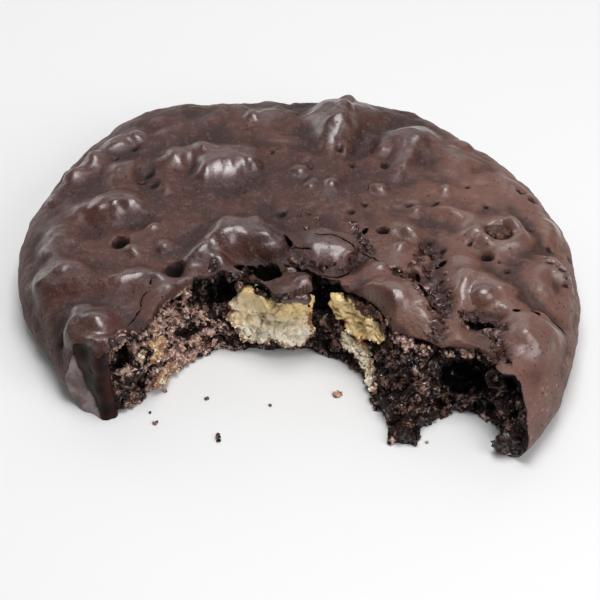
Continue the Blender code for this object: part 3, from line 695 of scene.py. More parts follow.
# The crust: the round's fine net, raised by the same lumps, with crisp cracks, pits and a broken edge
crustLook = {
    "steps": 300,
    "highest": 20.3,
    "lip": 0.5,  # height of the crust above the torn slope
    "setBack": 0.2,  # how far its edge stops short of the torn crumb, and how far its body does
    "bodyBack": 3.2,
    "jagged": 0.7,
    "flakes": (0.55, 1.4e6, 3, (0.5, 0.4, 0.14), (1.7, 1.1, 0.34)),
    # where the skin hangs over the torn face: x, reach, how far
    "overhang": ((16.0, 3.6, 1.7), (22.5, 4.0, 1.2), (33.0, 2.2, 1.0), (-1.2, 2.8, 1.6)),
    # x, y along each crack, its width at the top, its depth
    "cracks": (
        (((-25.5, -10.0), (-25.6, -11.7), (-26.4, -12.9), (-27.2, -14.6)), 0.45, 2.2),
        (((-27.2, -14.4), (-26.8, -15.9), (-27.9, -17.8), (-29.0, -19.4)), 0.5, 2.2),
        (((2.6, 0.3), (6.1, 0.0), (7.5, -0.6), (9.7, -3.0)), 0.55, 2.2),
        (((10.7, -2.5), (12.3, -4.0), (13.6, -6.0)), 0.5, 2.0),
        (((-1.6, -2.5), (0.2, -3.0), (1.9, -3.7)), 0.4, 1.8),
        (((-2.6, -5.7), (-0.5, -6.8), (1.2, -7.0), (2.6, -8.3)), 0.8, 3.0),
        (((2.6, -8.3), (3.9, -8.3), (6.0, -9.1), (8.1, -8.3), (8.8, -5.9)), 1.1, 3.0),
        (((39.2, -15.1), (41.0, -15.5), (42.2, -16.1), (43.6, -17.0), (45.4, -17.6)), 0.7, 2.4),
        (((29.5, -18.2), (30.9, -18.9), (32.3, -19.5)), 1.1, 2.6),
        (((16.3, -6.9), (17.5, -9.0), (19.4, -11.4)), 0.5, 1.6),
        (((20.3, -12.8), (21.1, -15.0), (22.4, -17.7)), 0.4, 1.4),
    ),
    # x, y, half length, half width, turn, depth
    "pits": (
        (-31.3, 0.6, 1.3, 1.1, 0, 2.4), (14.5, 3.1, 0.9, 0.8, 0, 1.4), (32.4, -3.2, 0.9, 0.7, 20, 1.2),
        (-21.6, -6.6, 1.7, 1.1, 60, 2.0), (19.3, -8.2, 1.0, 0.8, -40, 1.8),
    ),
    # black holes cut right through the skin: x, y, half length, half width, turn, depth
    "holes": (
        (-5.5, -7.9, 2.5, 2.5, 0, 6.5), (-2.3, -1.2, 0.45, 1.6, 22, 3.4), (-9.4, -6.6, 1.9, 0.9, 0, 3.6),
        (0.4, -7.0, 1.8, 0.5, -30, 3.6), (2.4, -10.0, 1.1, 2.2, 26, 6.0), (4.6, -11.4, 2.7, 1.5, 6, 6.5),
        (24.2, -4.9, 0.5, 1.2, -50, 2.6), (19.6, -8.6, 1.1, 1.1, 0, 3.2),
        (20.9, -13.4, 0.7, 2.0, 14, 3.0), (22.6, -16.6, 0.5, 1.3, -20, 2.6),
        (30.2, -19.6, 2.9, 1.0, -14, 3.4), (36.4, -18.0, 0.9, 0.6, -30, 2.4),
        (39.6, -17.2, 1.0, 0.6, -10, 2.6), (11.5, 2.8, 0.6, 1.1, -30, 2.4),
        (-17.0, -9.8, 1.4, 0.9, 30, 3.4), (-12.8, -8.6, 1.6, 0.9, -10, 3.4),
    ),
    # smaller forms of the skin alone, as the round's own lumps and folds are listed
    "lumps": (
        (36.0, -9.8, 2.0, 1.6, 20, 0.9, 2.4), (42.2, -10.6, 1.8, 2.6, 0, 0.8, 2.4),
        (38.6, -24.4, 3.4, 2.6, -30, 0.7, 2.2), (-5.0, -2.4, 3.0, 2.2, -24, 1.4, 2.2),
        (-10.6, -4.4, 3.4, 2.0, -14, -0.5, 2.4), (5.2, -3.0, 4.0, 2.6, -10, 0.8, 2.6),
        (8.8, -3.0, 2.2, 2.6, 0, 0.6, 2.4), (14.6, -15.6, 5.6, 4.8, -30, 1.7, 2.4),
        (39.0, -20.4, 5.0, 4.4, -40, 0.8, 2.6), (-34.0, -20.0, 3.4, 3.0, -30, 1.4, 2.6),
        (-23.4, 23.4, 2.4, 2.0, 0, 0.6, 2.2), (-18.8, 23.8, 2.2, 1.8, 0, 0.6, 2.2),
        (34.6, 3.0, 3.2, 2.6, 0, -1.2, 2.2),
    ),
    "folds": (
        (((31.0, 3.4), (31.8, 0.2), (34.4, -1.4), (37.2, 0.2), (38.2, 3.4)), 1.5, 0.9),
        (((27.0, -17.6), (26.4, -13.6), (28.0, -9.8)), 2.4, 1.3),
        (((42.0, -1.6), (45.0, -4.4), (46.4, -9.2), (46.0, -14.0)), 1.3, 0.7),
        (((-36.6, -15.0), (-37.8, -19.4), (-35.4, -23.6), (-31.4, -23.6)), 1.7, 1.4),
        (((-24.6, -9.0), (-20.8, -5.6), (-16.6, -3.6)), 2.2, 0.6),
        (((-44.6, 0.0), (-41.0, -3.6), (-37.0, -5.6)), 1.6, 0.8),
        (((-41.0, 12.0), (-39.0, 6.8), (-40.6, 1.6)), 1.6, 0.7),
        (((33.8, -17.4), (33.4, -21.4), (34.6, -25.6)), 1.3, -0.9),
        (((29.2, -12.2), (28.8, -15.4), (30.0, -18.2), (34.0, -18.4)), 1.1, -0.9),
        (((-11.8, 0.9), (-8.3, -0.4), (-5.4, -1.9)), 3.4, 0.7),
        (((5.9, -7.0), (7.0, -5.2), (8.0, -3.8)), 1.0, 0.8),
    ),
    # a flap over the nut and glinting beads: x, y, z, half sizes. Those above beadsOnSkin are set on the skin
    "beadsOnSkin": 14.4,
    "beads": (
        (-1.4, -11.4, 14.4, 3.1, 2.1, 1.5), (0.6, -12.2, 13.9, 1.2, 1.1, 1.1),
        (-1.4, -4.9, 16.3, 0.9, 0.6, 0.6), (-1.5, -7.0, 15.9, 1.1, 0.7, 0.7),
        (0.9, -9.0, 15.5, 0.9, 0.9, 0.9), (-12.1, -7.2, 14.2, 0.9, 0.8, 1.0),
        (-10.4, -8.9, 13.7, 0.9, 1.0, 1.1), (1.2, 2.1, 17.3, 0.6, 0.5, 0.5),
        (3.3, 6.0, 16.9, 0.5, 0.5, 0.4), (25.4, -8.2, 15.6, 0.6, 0.5, 0.5),
        (21.6, -11.8, 15.8, 0.8, 0.6, 0.6), (19.6, -5.0, 15.8, 0.7, 0.5, 0.5),
        (31.4, -20.9, 14.6, 0.8, 0.6, 0.6), (28.2, -20.0, 14.8, 0.6, 0.6, 0.5),
    ),
    # round domes that swell out of the lumps: x, y, z, half sizes, and how softly they merge
    "domeBlend": 0.15,
    "domes": ((31.2, -14.2, 16.1, 2.7, 2.4, 2.3), (-5.2, -2.2, 16.9, 3.4, 2.6, 2.2)),
    # small pits, painted dark as shade: x, y, half size
    "marks": (
        (-40.4, -18.5, 1.1), (-43.7, 21.6, 1.3), (-42.4, 23.4, 0.9), (-3.2, 7.2, 1.0), (1.6, 7.0, 0.6),
        (0.0, 6.4, 0.5), (9.2, 8.1, 0.8), (11.5, 10.3, 1.0), (-27.1, 19.8, 1.3), (-26.0, 16.1, 1.4),
        (-28.4, 17.6, 1.0), (24.9, -1.0, 0.9), (22.7, 1.1, 0.7), (29.6, -0.3, 0.6), (34.6, -4.1, 0.6),
        (35.9, -6.0, 0.6), (42.2, -2.6, 0.5), (42.9, -3.6, 0.7), (43.6, -4.6, 0.4),
        (44.4, -5.3, 0.7), (45.1, -6.2, 0.5), (45.5, -7.2, 0.7), (46.4, -8.6, 0.5),
        (43.8, 1.3, 0.8), (40.5, 5.2, 0.7), (15.4, 21.2, 1.1), (7.3, 24.8, 0.8), (9.4, 21.0, 0.7),
        (41.2, 14.2, 1.4), (39.5, 15.9, 1.3), (48.0, 2.9, 0.9), (19.5, 10.5, 0.8), (24.0, 11.0, 0.9),
        (24.4, 11.5, 0.6), (-33.4, 24.0, 0.9), (-30.2, 27.0, 0.8), (2.0, 20.0, 0.6), (30.0, 16.0, 0.6),
        (-10.0, 14.0, 0.5), (33.0, 11.0, 0.6), (-20.0, 10.0, 0.5), (-5.0, 25.0, 0.6), (12.0, 14.4, 0.5),
    ),
    # x, y, z, half sizes of the hollows under the crust's edge
    "hollows": (
        (-14.4, -8.8, 11.0, 4.4, 4.2, 2.7), (-5.6, -7.6, 14.0, 2.5, 1.8, 2.6),
        (3.6, -10.6, 11.6, 1.5, 4.4, 3.6), (28.0, -24.6, 7.2, 4.6, 4.8, 3.0),
        (-30.4, -22.6, 9.6, 1.7, 2.4, 1.6), (34.4, -30.6, 10.2, 1.4, 2.2, 1.8),
    ),
    # where the skin is crumpled and glinting: places along each band, half width
    "bands": (
        (((22.7, -0.5), (21.6, -4.7), (20.6, -7.3), (22.3, -10.0), (23.9, -13.0), (23.1, -21.6)), 2.6),
        (((16.3, -6.9), (18.6, -10.8), (21.6, -15.6)), 1.3),
        (((28.0, -18.5), (31.0, -19.6), (34.4, -20.6)), 2.0),
        (((31.5, -20.5), (32.5, -23.5), (33.6, -27.0)), 1.9),
        (((-1.0, -5.8), (3.0, -6.4), (8.0, -7.0), (10.2, -3.0)), 1.1),
        (((-13.0, -8.6), (-9.6, -8.2)), 1.4),
        (((9.4, 4.6), (10.4, 1.0), (11.8, -1.8), (13.4, -4.4)), 1.1),
    ),
    # darker red patches, partly bare skin and partly painted shade on the lumps' steep faces: x, y, half
    # length, half width, turn
    "bare": (
        (-12.1, -3.6, 3.6, 3.0, 0), (-35.3, 7.7, 5.2, 2.6, 10), (-14.5, 19.0, 3.4, 2.6, -20),
        (-37.0, -10.4, 8.0, 2.4, 4), (-31.0, -9.2, 4.4, 2.0, 0), (-26.2, -15.4, 2.4, 3.6, 0),
        (-32.2, -20.2, 3.4, 4.0, 30), (-33.4, -27.0, 4.4, 6.0, 30), (5.5, -5.4, 2.2, 1.6, 0),
        (30.1, -14.1, 3.0, 1.6, -20), (14.4, -17.2, 3.0, 2.6, 0), (17.0, 26.0, 2.6, 2.6, 0),
        (8.6, 33.2, 3.0, 3.4, 0), (34.6, 2.6, 3.2, 2.6, 0), (-21.8, 20.6, 1.8, 1.6, 0),
    ),
}


def crackBlade(places, width, depth, seed):
    # a thin wedge that follows the crack, widest at the crust, standing proud of it
    route = []
    for start, end in zip(places, places[1:]):
        steps = max(2, int(math.dist(start, end) / 0.55))
        route += [np.array(start) + (np.array(end) - start) * k / steps for k in range(steps)]
    route = np.array([*route, places[-1]])
    jitter = np.column_stack((route, np.zeros(len(route))))
    route[:, 0] += 0.3 * noiseAt(jitter, 1.1, seed)
    route[:, 1] += 0.3 * noiseAt(jitter, 1.1, seed + 1)
    along = np.gradient(route, axis=0)
    across = np.column_stack((-along[:, 1], along[:, 0])) / np.linalg.norm(along, axis=1)[:, None]
    share = np.linspace(0.0, 1.0, len(route))
    half = 0.5 * width * np.sqrt(np.clip(1.0 - (2.0 * share - 1.0) ** 4, 0.02, 1.0))
    half = np.maximum(half * (1.0 + 0.7 * noiseAt(jitter, 0.9, seed + 2)), 0.08)
    verts, faces = [], []
    for k, (x, y) in enumerate(route):
        level = crustHeight(x, y)
        for side, out, z in ((-1, 1.4, 5.0), (1, 1.4, 5.0), (1, 0.25, -depth), (-1, 0.25, -depth)):
            verts.append((*(route[k] + across[k] * side * half[k] * out), level + z))
    for k in range(0, 4 * len(route) - 4, 4):
        faces += [(k + a, k + b, k + 4 + b, k + 4 + a) for a, b in ((0, 1), (1, 2), (2, 3), (3, 0))]
    last = 4 * len(route) - 4
    faces += [(3, 2, 1, 0), (last, last + 1, last + 2, last + 3)]
    blade = meshObject("crack", verts, faces)
    reshape(blade.data, lambda shape: bmesh.ops.recalc_face_normals(shape, faces=shape.faces))
    return blade


def holeBalls(grow=0.0):
    balls = []
    for seed, (x, y, length, width, turn, depth) in enumerate(crustLook["holes"], 60):
        ball = ellipsoid((0, 0, 0, length, width, depth), grow)
        roughen(ball, lambda points: 0.45 * min(width, 1.4) * noiseAt(points, 1.3, seed))
        spot = Vector((x * mm, y * mm, (crustHeight(x, y) + 0.6) * mm))
        ball.data.transform(Matrix.Translation(spot) @ Matrix.Rotation(math.radians(turn), 4, "Z"))
        balls.append(ball)
    return balls


def bandShare(points):
    share = np.zeros(len(points))
    for places, width in crustLook["bands"]:
        share = np.maximum(share, 1.0 - ease(lineAway(points, places), 0.35 * width, 1.1 * width))
    return share * ease(noiseAt(points, 2.4, 16), -0.4, 0.1)


def blurred(values, reach):
    # the net's values, averaged over their neighbours
    steps = crustLook["steps"]
    grid = values.reshape(steps, steps)
    for axis in (0, 1, 0, 1):
        total = np.cumsum(np.pad(grid, reach + 1, mode="edge"), axis=axis)
        ahead, behind = np.roll(total, -reach, axis), np.roll(total, reach + 1, axis)
        grid = ((ahead - behind) / (2 * reach + 1))[reach + 1 : -reach - 1, reach + 1 : -reach - 1]
    return grid.ravel()


def deepShare(points):
    # the holes and hollows, where hardly any light gets in
    deep = np.zeros(len(points))
    for x, y, length, width, turn, depth in crustLook["holes"]:
        away = points - (x, y, crustHeight(x, y) + 0.6)
        along, across = ovalShares(away, length + 0.5, width + 0.5, turn)
        out = np.sqrt(along**2 + across**2 + (away[:, 2] / (depth + 0.5)) ** 2)
        deep = np.maximum(deep, (1.0 - ease(out, 1.0, 1.25)) * ease(-away[:, 2], 0.8, 1.5))
    for hollow in bite["hollows"]:
        out = ballShare(points, hollow) + 0.25 * noiseAt(points, 1.6, 54)
        deep = np.maximum(deep, 0.9 * (1.0 - ease(out, 0.95, 1.25)))
    return deep


def tipShare(points):
    # the bite's left end, where smooth wet skin closes the torn face
    x, y, reach = bite["scallops"][0][:3]
    return 1.0 - ease(np.hypot(points[:, 0] - x, points[:, 1] - y), reach + 2.4, reach + 3.8)


def rimShare(points):
    # the round's own skin, folded over the tip's outer edge
    return 1.0 - ease(sideDepth(points) + 0.26 * points[:, 2] + 0.5 * noiseAt(points, 2.6, 57), 3.4, 5.2)


def sideDepth(points):
    # distance inside the round's outline
    away = points[:, :2] - cookie["discCentre"]
    out = np.linalg.norm(away, axis=1) / outlineShare(np.arctan2(away[:, 1], away[:, 0]))
    return cookie["radius"] - out


def depthInside(points):
    # rough depth below the round's skin
    top = np.array([crustHeight(x, y) for x, y in points[:, :2].tolist()])
    return np.minimum(top - points[:, 2], sideDepth(points))


def crustRelief(places, band, marked):
    warp = np.column_stack([1.5 * noiseAt(places, 6.0, seed) for seed in (41, 42, 43)])
    warped = places + warp
    rise = mainRise(places + 0.55 * warp, 2.2, 1.2)
    for lump in crustLook["lumps"]:
        rise += lumpRise(places + 0.3 * warp, lump, 2.2, 1.2)
    for fold in crustLook["folds"]:
        rise += lineRise(places + 0.3 * warp, *fold)
    rise = blurred(rise, 2)
    top = 0.3 + 0.7 * ease(places[:, 2], 8.0, 13.0)
    rise += 0.5 * top * (0.22 - np.abs(noiseAt(warped, 7.0, 12)))
    rise += 0.45 * noiseAt(warped, 4.2, 13) + 0.2 * top * noiseAt(warped, 2.0, 17)
    rise += 0.09 * noiseAt(places, 0.95, 19)
    away, _, mark = cellsAt(places + 0.4 * warp, 5.2, 61)
    rise += top * (mark > 0.5) * mark * 1.1 * np.clip(1.0 - (away / 0.42) ** 2, 0.0, 1.0) ** 1.5
    _, gap, mark = cellsAt(places, 1.6, 14)
    _, gapFine, markFine = cellsAt(places, 0.8, 15)
    rise += band * (1.0 * (mark - 0.6) - 0.6 * (1.0 - ease(gap, 0.0, 0.25)))
    rise += band * (0.4 * (markFine - 0.5) - 0.2 * (1.0 - ease(gapFine, 0.0, 0.25)))
    for x, y, length, width, turn, depth in crustLook["pits"]:
        pit = (x, y, length * 1.5, width * 1.5, turn, depth, 2.2)
        rise -= lumpRise(places + 0.25 * warp, pit)
    rise -= 0.8 * marked
    return rise * np.clip(places[:, 2] / cookie["waist"], 0.0, 1.0)


def pitShadeShare(places, wobble):
    # small pits, and the middles of the larger pits, painted dark as shade
    marked = np.zeros(len(places))
    for x, y, reach in crustLook["marks"]:
        away = np.hypot(places[:, 0] - x, places[:, 1] - y) / reach + wobble
        marked = np.maximum(marked, (1.0 - ease(away, 0.1, 1.1)) * (places[:, 2] > 3.0))
    for x, y, length, width, *_ in crustLook["pits"]:
        away = np.hypot((places[:, 0] - x) / length, (places[:, 1] - y) / width)
        marked = np.maximum(marked, 1.6 * (1.0 - ease(away, 0.5, 1.3)) * (places[:, 2] > 3.0))
    return marked


def bareAndShadedShare(places, wobble):
    bare = np.zeros(len(places))
    for x, y, *oval in crustLook["bare"]:
        away = np.hypot(*ovalShares(places[:, :2] - (x, y), *oval))
        bare = np.maximum(bare, 1.0 - ease(away + 0.3 * wobble, 0.5, 1.1))
    return bare


def swollen(skin):
    # the domes merged into the skin, all of it under a soft ceiling
    for x, y, z, rx, ry, rz in crustLook["domes"]:
        out = ((skin[:, 0] - x) / rx) ** 2 + ((skin[:, 1] - y) / ry) ** 2
        top = z + rz * np.sqrt(np.clip(1.0 - out, 0.0, 1.0)) - 6.0 * np.maximum(out - 1.0, 0.0)
        skin[:, 2] = -softLeast(-skin[:, 2], -top, crustLook["domeBlend"])
    skin[:, 2] = softLeast(skin[:, 2], crustLook["highest"], 0.3)
    return skin


def crustBite():
    # the bite's block, uneven along the crust's edge and further back below it
    block = biteBlock(crustLook["setBack"], voxel=0.6, upright=True)
    points, facing = pointsOf(block)
    jag = crustLook["jagged"] * (noiseAt(points, 3.4, 21) + 0.6 * noiseAt(points, 1.2, 22))
    back = ease(depthInside(points), 0.8, 1.6) * ease(sideDepth(points), 3.0, 6.0)
    hang = 0.0
    for x, reach, forward in crustLook["overhang"]:
        hang = hang + forward * np.exp(-(((points[:, 0] - x) / reach) ** 2))
    tip = tipShare(points)
    fold = 0.55 + 0.7 * rimShare(points) - 0.5 * noiseAt(points, 3.2, 56)
    move = (jag + crustLook["bodyBack"] * back - hang) * (1.0 - tip) - fold * tip
    setPoints(block, points + facing * move[:, None] * (1.0, 1.0, 0.0))
    return block


def makeCrust(crustMaterial, crumbMaterial):
    places, normals = roundGrid(crustLook["steps"])
    band = bandShare(places)
    wobble = 0.35 * noiseAt(places, 1.6, 51) + 0.35 * noiseAt(places, 0.8, 55)
    marked = pitShadeShare(places, wobble)
    rise = crustRelief(places, band, marked)
    skin = swollen(draped(places + normals * rise[:, None], crustLook["lip"]))
    crust = closedRound("crust", crustLook["steps"], skin)
    layers = {
        "bare": bareAndShadedShare(places, wobble),
        "broken": band,
        # painted shade: darker in the hollows between lumps
        "sunk": ease(blurred(rise, 9) - rise, 0.0, 0.6),
        "marked": marked,
        "side": ease(-places[:, 2] + 1.5 * noiseAt(places, 5.0, 52), -12.5, -7.5),
        "lump": ease(rise - blurred(rise, 14), 0.05, 0.7),
        # paler toward the right and front: partly drier crust, partly painted light from the right and
        # painted shade on the left
        "dry": ease(places[:, 0] - 0.5 * places[:, 1] + 3.0 * noiseAt(places, 9.0, 53), 0.0, 28.0),
        "crisp": ease(-places[:, 1], -8.0, 5.0),
    }
    below = np.zeros(len(crust.data.vertices) - len(places))
    for name, values in layers.items():
        paint(crust, name, np.concatenate((values, below)))
    crust.data.materials.append(crustMaterial)
    cutters = [crustBite()]
    cutters += [crackBlade(*crack, seed) for seed, crack in zip(range(31, 99, 3), crustLook["cracks"])]
    cutters += holeBalls()
    for seed, hollow in enumerate(crustLook["hollows"], 80):
        ball = ellipsoid(hollow, 0.1)
        cutters.append(roughen(ball, lambda points: 0.7 * noiseAt(points, 1.8, seed)))
    for cutter in cutters:
        cutter.data.materials.clear()
        cutter.data.materials.append(crumbMaterial)
        cut(crust, cutter)
    keepLargest(crust)
    points, _ = pointsOf(crust)
    paint(crust, "grainy", bandShare(points) * (depthInside(points) < 1.2))
    paint(crust, "warm", 0.5 * ease(-points[:, 0], -10.0, 20.0))
    paint(crust, "raised", 0.9 * noiseAt(points, 1.2, 24) - 0.15)
    paint(crust, "wet", tipShare(points))
    paint(crust, "deep", deepShare(points))
    # where the tip's fold is painted with a lavender sheen, a painted reflection
    paint(crust, "rim", rimShare(points))
    return crust


# The torn crumb, a thick skin of it behind the bite's face
crumbLook = {
    "steps": 150,
    "behind": 4.5,  # how far the skin of crumb reaches behind the face, and how far it lies under the crust
    "under": 1.3,
    "voxel": 0.27,
    "tornWithin": 0.8,  # the relief lies on what is this near to the bite's face
    "grains": (0.34, 2.2e6, 7, (0.4, 0.4, 0.35), (1.5, 1.4, 1.1)),
}


def warmth(points):
    # the left of the bite is dry and pale, the right dark and moist but for a row under the crust
    warm = 1.0 - 0.85 * ease(points[:, 0], -20.0, -8.0)
    row = ease(points[:, 2] + 1.2 * noiseAt(points, 2.0, 33), 11.4, 12.6) * ease(points[:, 0], 13.0, 16.0)
    foot = ease(-points[:, 2], -2.0, -0.8) * ease(noiseAt(points, 2.6, 34), 0.0, 0.3)
    moist = ease(-points[:, 0] + noiseAt(points, 3.0, 35), 25.4, 27.4) * ease(-points[:, 2], -8.0, -6.0)
    return np.maximum(warm, np.maximum(0.9 * row, 0.7 * foot)) * (1.0 - 0.9 * moist)


def chunkRelief(face):
    # broken chunks, deep voids between them and grains on them, sunk to make room beside the nuts
    large, medium = noiseAt(face, 4.0, 3), noiseAt(face, 1.9, 4)
    chunks = 1.6 * large + 1.1 * medium - 0.2
    _, split, _ = cellsAt(face + 0.8 * chunks[:, None], 3.2, 18)
    voids = ease(-0.5 * large - 0.6 * medium, 0.08, 0.3)
    chunks -= 1.0 * (1.0 - ease(split, 0.0, 0.25)) + 1.8 * voids
    lobes = [lobe for look in walnuts.values() for lobe in look["lobes"]]
    nearNut = np.min([ballShare(face, lobe, 0.8) for lobe in lobes], axis=0)
    chunks = chunks * ease(nearNut, 0.8, 1.2) - 0.9 * (1.0 - ease(nearNut, 0.75, 1.1))
    coarse, gap, _ = cellsAt(face, 1.3, 5)
    finer, _, _ = cellsAt(face, 0.66, 6)
    grain = 0.8 * (0.5 - coarse) - 0.25 * (1.0 - ease(gap, 0.0, 0.15)) + 0.35 * (0.5 - finer)
    return softLeast(chunks, 0.5, 0.4), grain


def makeCrumb(material):
    places, normals = roundGrid(crumbLook["steps"])
    rise = mainRise(places)
    rise *= np.clip(places[:, 2] / cookie["waist"], 0.0, 1.0)
    body = draped(places + normals * (rise - crumbLook["under"])[:, None], 0.0)
    body = closedRound("crumb", crumbLook["steps"], body, rings=3)
    cut(body, biteBlock(crumbLook["behind"]), "INTERSECT")
    for cutter in (biteBlock(upright=True), *map(ellipsoid, bite["hollows"]), *holeBalls(0.2)):
        cut(body, cutter)
    remesh(body, crumbLook["voxel"])
    keepLargest(body)
    points, facing = pointsOf(body)
    torn = np.abs(wallDistance(points, True)) < crumbLook["tornWithin"]
    for hollow in bite["hollows"]:
        torn |= ballShare(points, hollow) < 1.15
    chunks, grain = chunkRelief(points[torn])
    tip = tipShare(points[torn])
    lift, raised, wet = np.zeros((3, len(points)))
    lift[torn] = (chunks + grain) * (1.0 - tip) - 0.5 * tip
    # high on the tops, low in the crevices, which the finish paints dark as shade
    raised[torn] = ease(grain + 0.45 * chunks, -0.9, 0.3)
    wet[torn] = tip
    points += facing * lift[:, None]
    setPoints(body, points, bodyFoot)
    paint(body, "warm", warmth(points))
    paint(body, "raised", raised)
    paint(body, "wet", wet)
    paint(body, "deep", deepShare(points))
    paint(body, "grainy", torn * (1.0 - tipShare(points)) * (0.15 + 0.85 * ease(raised, 0.05, 0.4)))
    body.data.materials.clear()
    body.data.materials.append(material)
    return body


# What the scatter tree asks for after its geometry: the tuples of looks give all but the material, in
# this order, with the grain size in millimetres
grainInputs = {
    "Grain Size": "Float",
    "Grains per Square Metre": "Float",
    "Seed": "Int",
    "Least Stretch": "Vector",
    "Most Stretch": "Vector",
    "Material": "Material",
}


def grainTree():
    # scatters uneven crumbs over the faces that are painted grainy
    tree = bpy.data.node_groups.new("crumbGrains", "GeometryNodeTree")
    for label, kind in {"Geometry": "Geometry", **grainInputs}.items():
        tree.interface.new_socket(label, in_out="INPUT", socket_type="NodeSocket" + kind)
    tree.interface.new_socket("Geometry", in_out="OUTPUT", socket_type="NodeSocketGeometry")
    nodes = Nodes(tree)
    entry = tree.nodes.new("NodeGroupInput")
    given = {socket.name: Wire(nodes, socket) for socket in entry.outputs}
    size, seed = given["Grain Size"], given["Seed"]
    where = nodes.add("GeometryNodeInputNamedAttribute", {"Name": "grainy"}, data_type="FLOAT")
    sockets = {"Mesh": given["Geometry"], "Density": where * given["Grains per Square Metre"], "Seed": seed}
    spots = nodes.add("GeometryNodeDistributePointsOnFaces", sockets)
    sockets = {"Min": (0.0, 0.0, 0.0), "Max": (math.tau, math.tau, math.tau), "Seed": seed}
    turn = nodes.add("FunctionNodeRandomValue", sockets, data_type="FLOAT_VECTOR")
    sockets = {"Min": given["Least Stretch"], "Max": given["Most Stretch"], "Seed": seed + 1.0}
    stretch = nodes.add("FunctionNodeRandomValue", sockets, data_type="FLOAT_VECTOR")
    ball = nodes.add("GeometryNodeMeshIcoSphere", {"Radius": 1.0, "Subdivisions": 1})
    sockets = {"Points": spots, "Instance": ball, "Rotation": turn}
    sockets["Scale"] = nodes.vector("SCALE", stretch, Scale=size)
    placed = nodes.add("GeometryNodeInstanceOnPoints", sockets)
    real = nodes.add("GeometryNodeRealizeInstances", {"Geometry": placed})
    rough = nodes.add("ShaderNodeTexNoise", {"Scale": 2600.0, "Detail": 2.0}, "Color")
    offset = nodes.vector("SCALE", nodes.vector("SUBTRACT", rough, (0.5, 0.5, 0.5)), Scale=size * 3.2)
    uneven = nodes.add("GeometryNodeSetPosition", {"Geometry": real, "Offset": offset})
    dressed = nodes.add("GeometryNodeSetMaterial", {"Geometry": uneven, "Material": given["Material"]})
    tree.links.new(dressed.socket, tree.nodes.new("NodeGroupOutput").inputs["Geometry"])
    return tree


def scattered(name, base, tree, material, look):
    # runs the scatter tree on a copy of the base and keeps its result as a plain mesh
    size, *others = look
    inputs = dict(zip(grainInputs, (size * mm, *others, material)))
    obj = newObject(name, base.data.copy())
    modifier = obj.modifiers.new("scatter", "NODES")
    modifier.node_group = tree
    for socket in tree.interface.items_tree:
        if socket.in_out == "INPUT" and socket.name in inputs:
            modifier[socket.identifier] = inputs[socket.name]
    return applyModifiers(obj)


def makeFlakes(crust, tree, material):
    # broken, glinting shards of skin along the crumpled bands
    flakes = scattered("crustFlakes", crust, tree, material, crustLook["flakes"])
    points, _ = pointsOf(flakes)
    _, _, mark = cellsAt(points, 1.3, 23)
    paint(flakes, "broken", mark)
    paint(flakes, "bare", ease(-mark, -0.5, -0.2))
    paint(flakes, "lump", mark)
    return settle(flakes, 35)


def makeBeads(crust, material):
    beads = []
    for index, (x, y, z, *half) in enumerate(crustLook["beads"]):
        least = min(half)
        if z > crustLook["beadsOnSkin"]:
            _, spot, _, _ = crust.closest_point_on_mesh(Vector((x * mm, y * mm, z * mm)))
            x, y, z = spot / mm
        bead = ellipsoid((x, y, z, *half))
        points, facing = pointsOf(bead)
        uneven = 0.4 * noiseAt(points, 1.5 * least, 90 + index) + 0.1 * noiseAt(points, 0.5, 70 + index)
        setPoints(bead, points + facing * (min(least, 1.0) * uneven)[:, None])
        beads.append(bead)
    whole = joined("crustBeads", beads)
    points, _ = pointsOf(whole)
    paint(whole, "lump", np.full(len(points), 0.9))
    # beads paler toward the right: partly drier crust, partly painted light from the right
    paint(whole, "dry", ease(points[:, 0], 4.0, 26.0))
    paint(whole, "bare", 0.3 * ease(-points[:, 0], -20.0, -10.0))
    whole.data.materials.append(material)
    return settle(whole)


def makeGrains(crumb, tree, material):
    grains = scattered("crumbGrains", crumb, tree, material, crumbLook["grains"])
    points, _ = pointsOf(grains)
    setPoints(grains, points, grainFoot)
    paint(grains, "warm", warmth(points))
    _, _, mark = cellsAt(points, 0.9, 17)
    paint(grains, "raised", mark)
    paint(grains, "deep", deepShare(points))
    return settle(grains, 50)


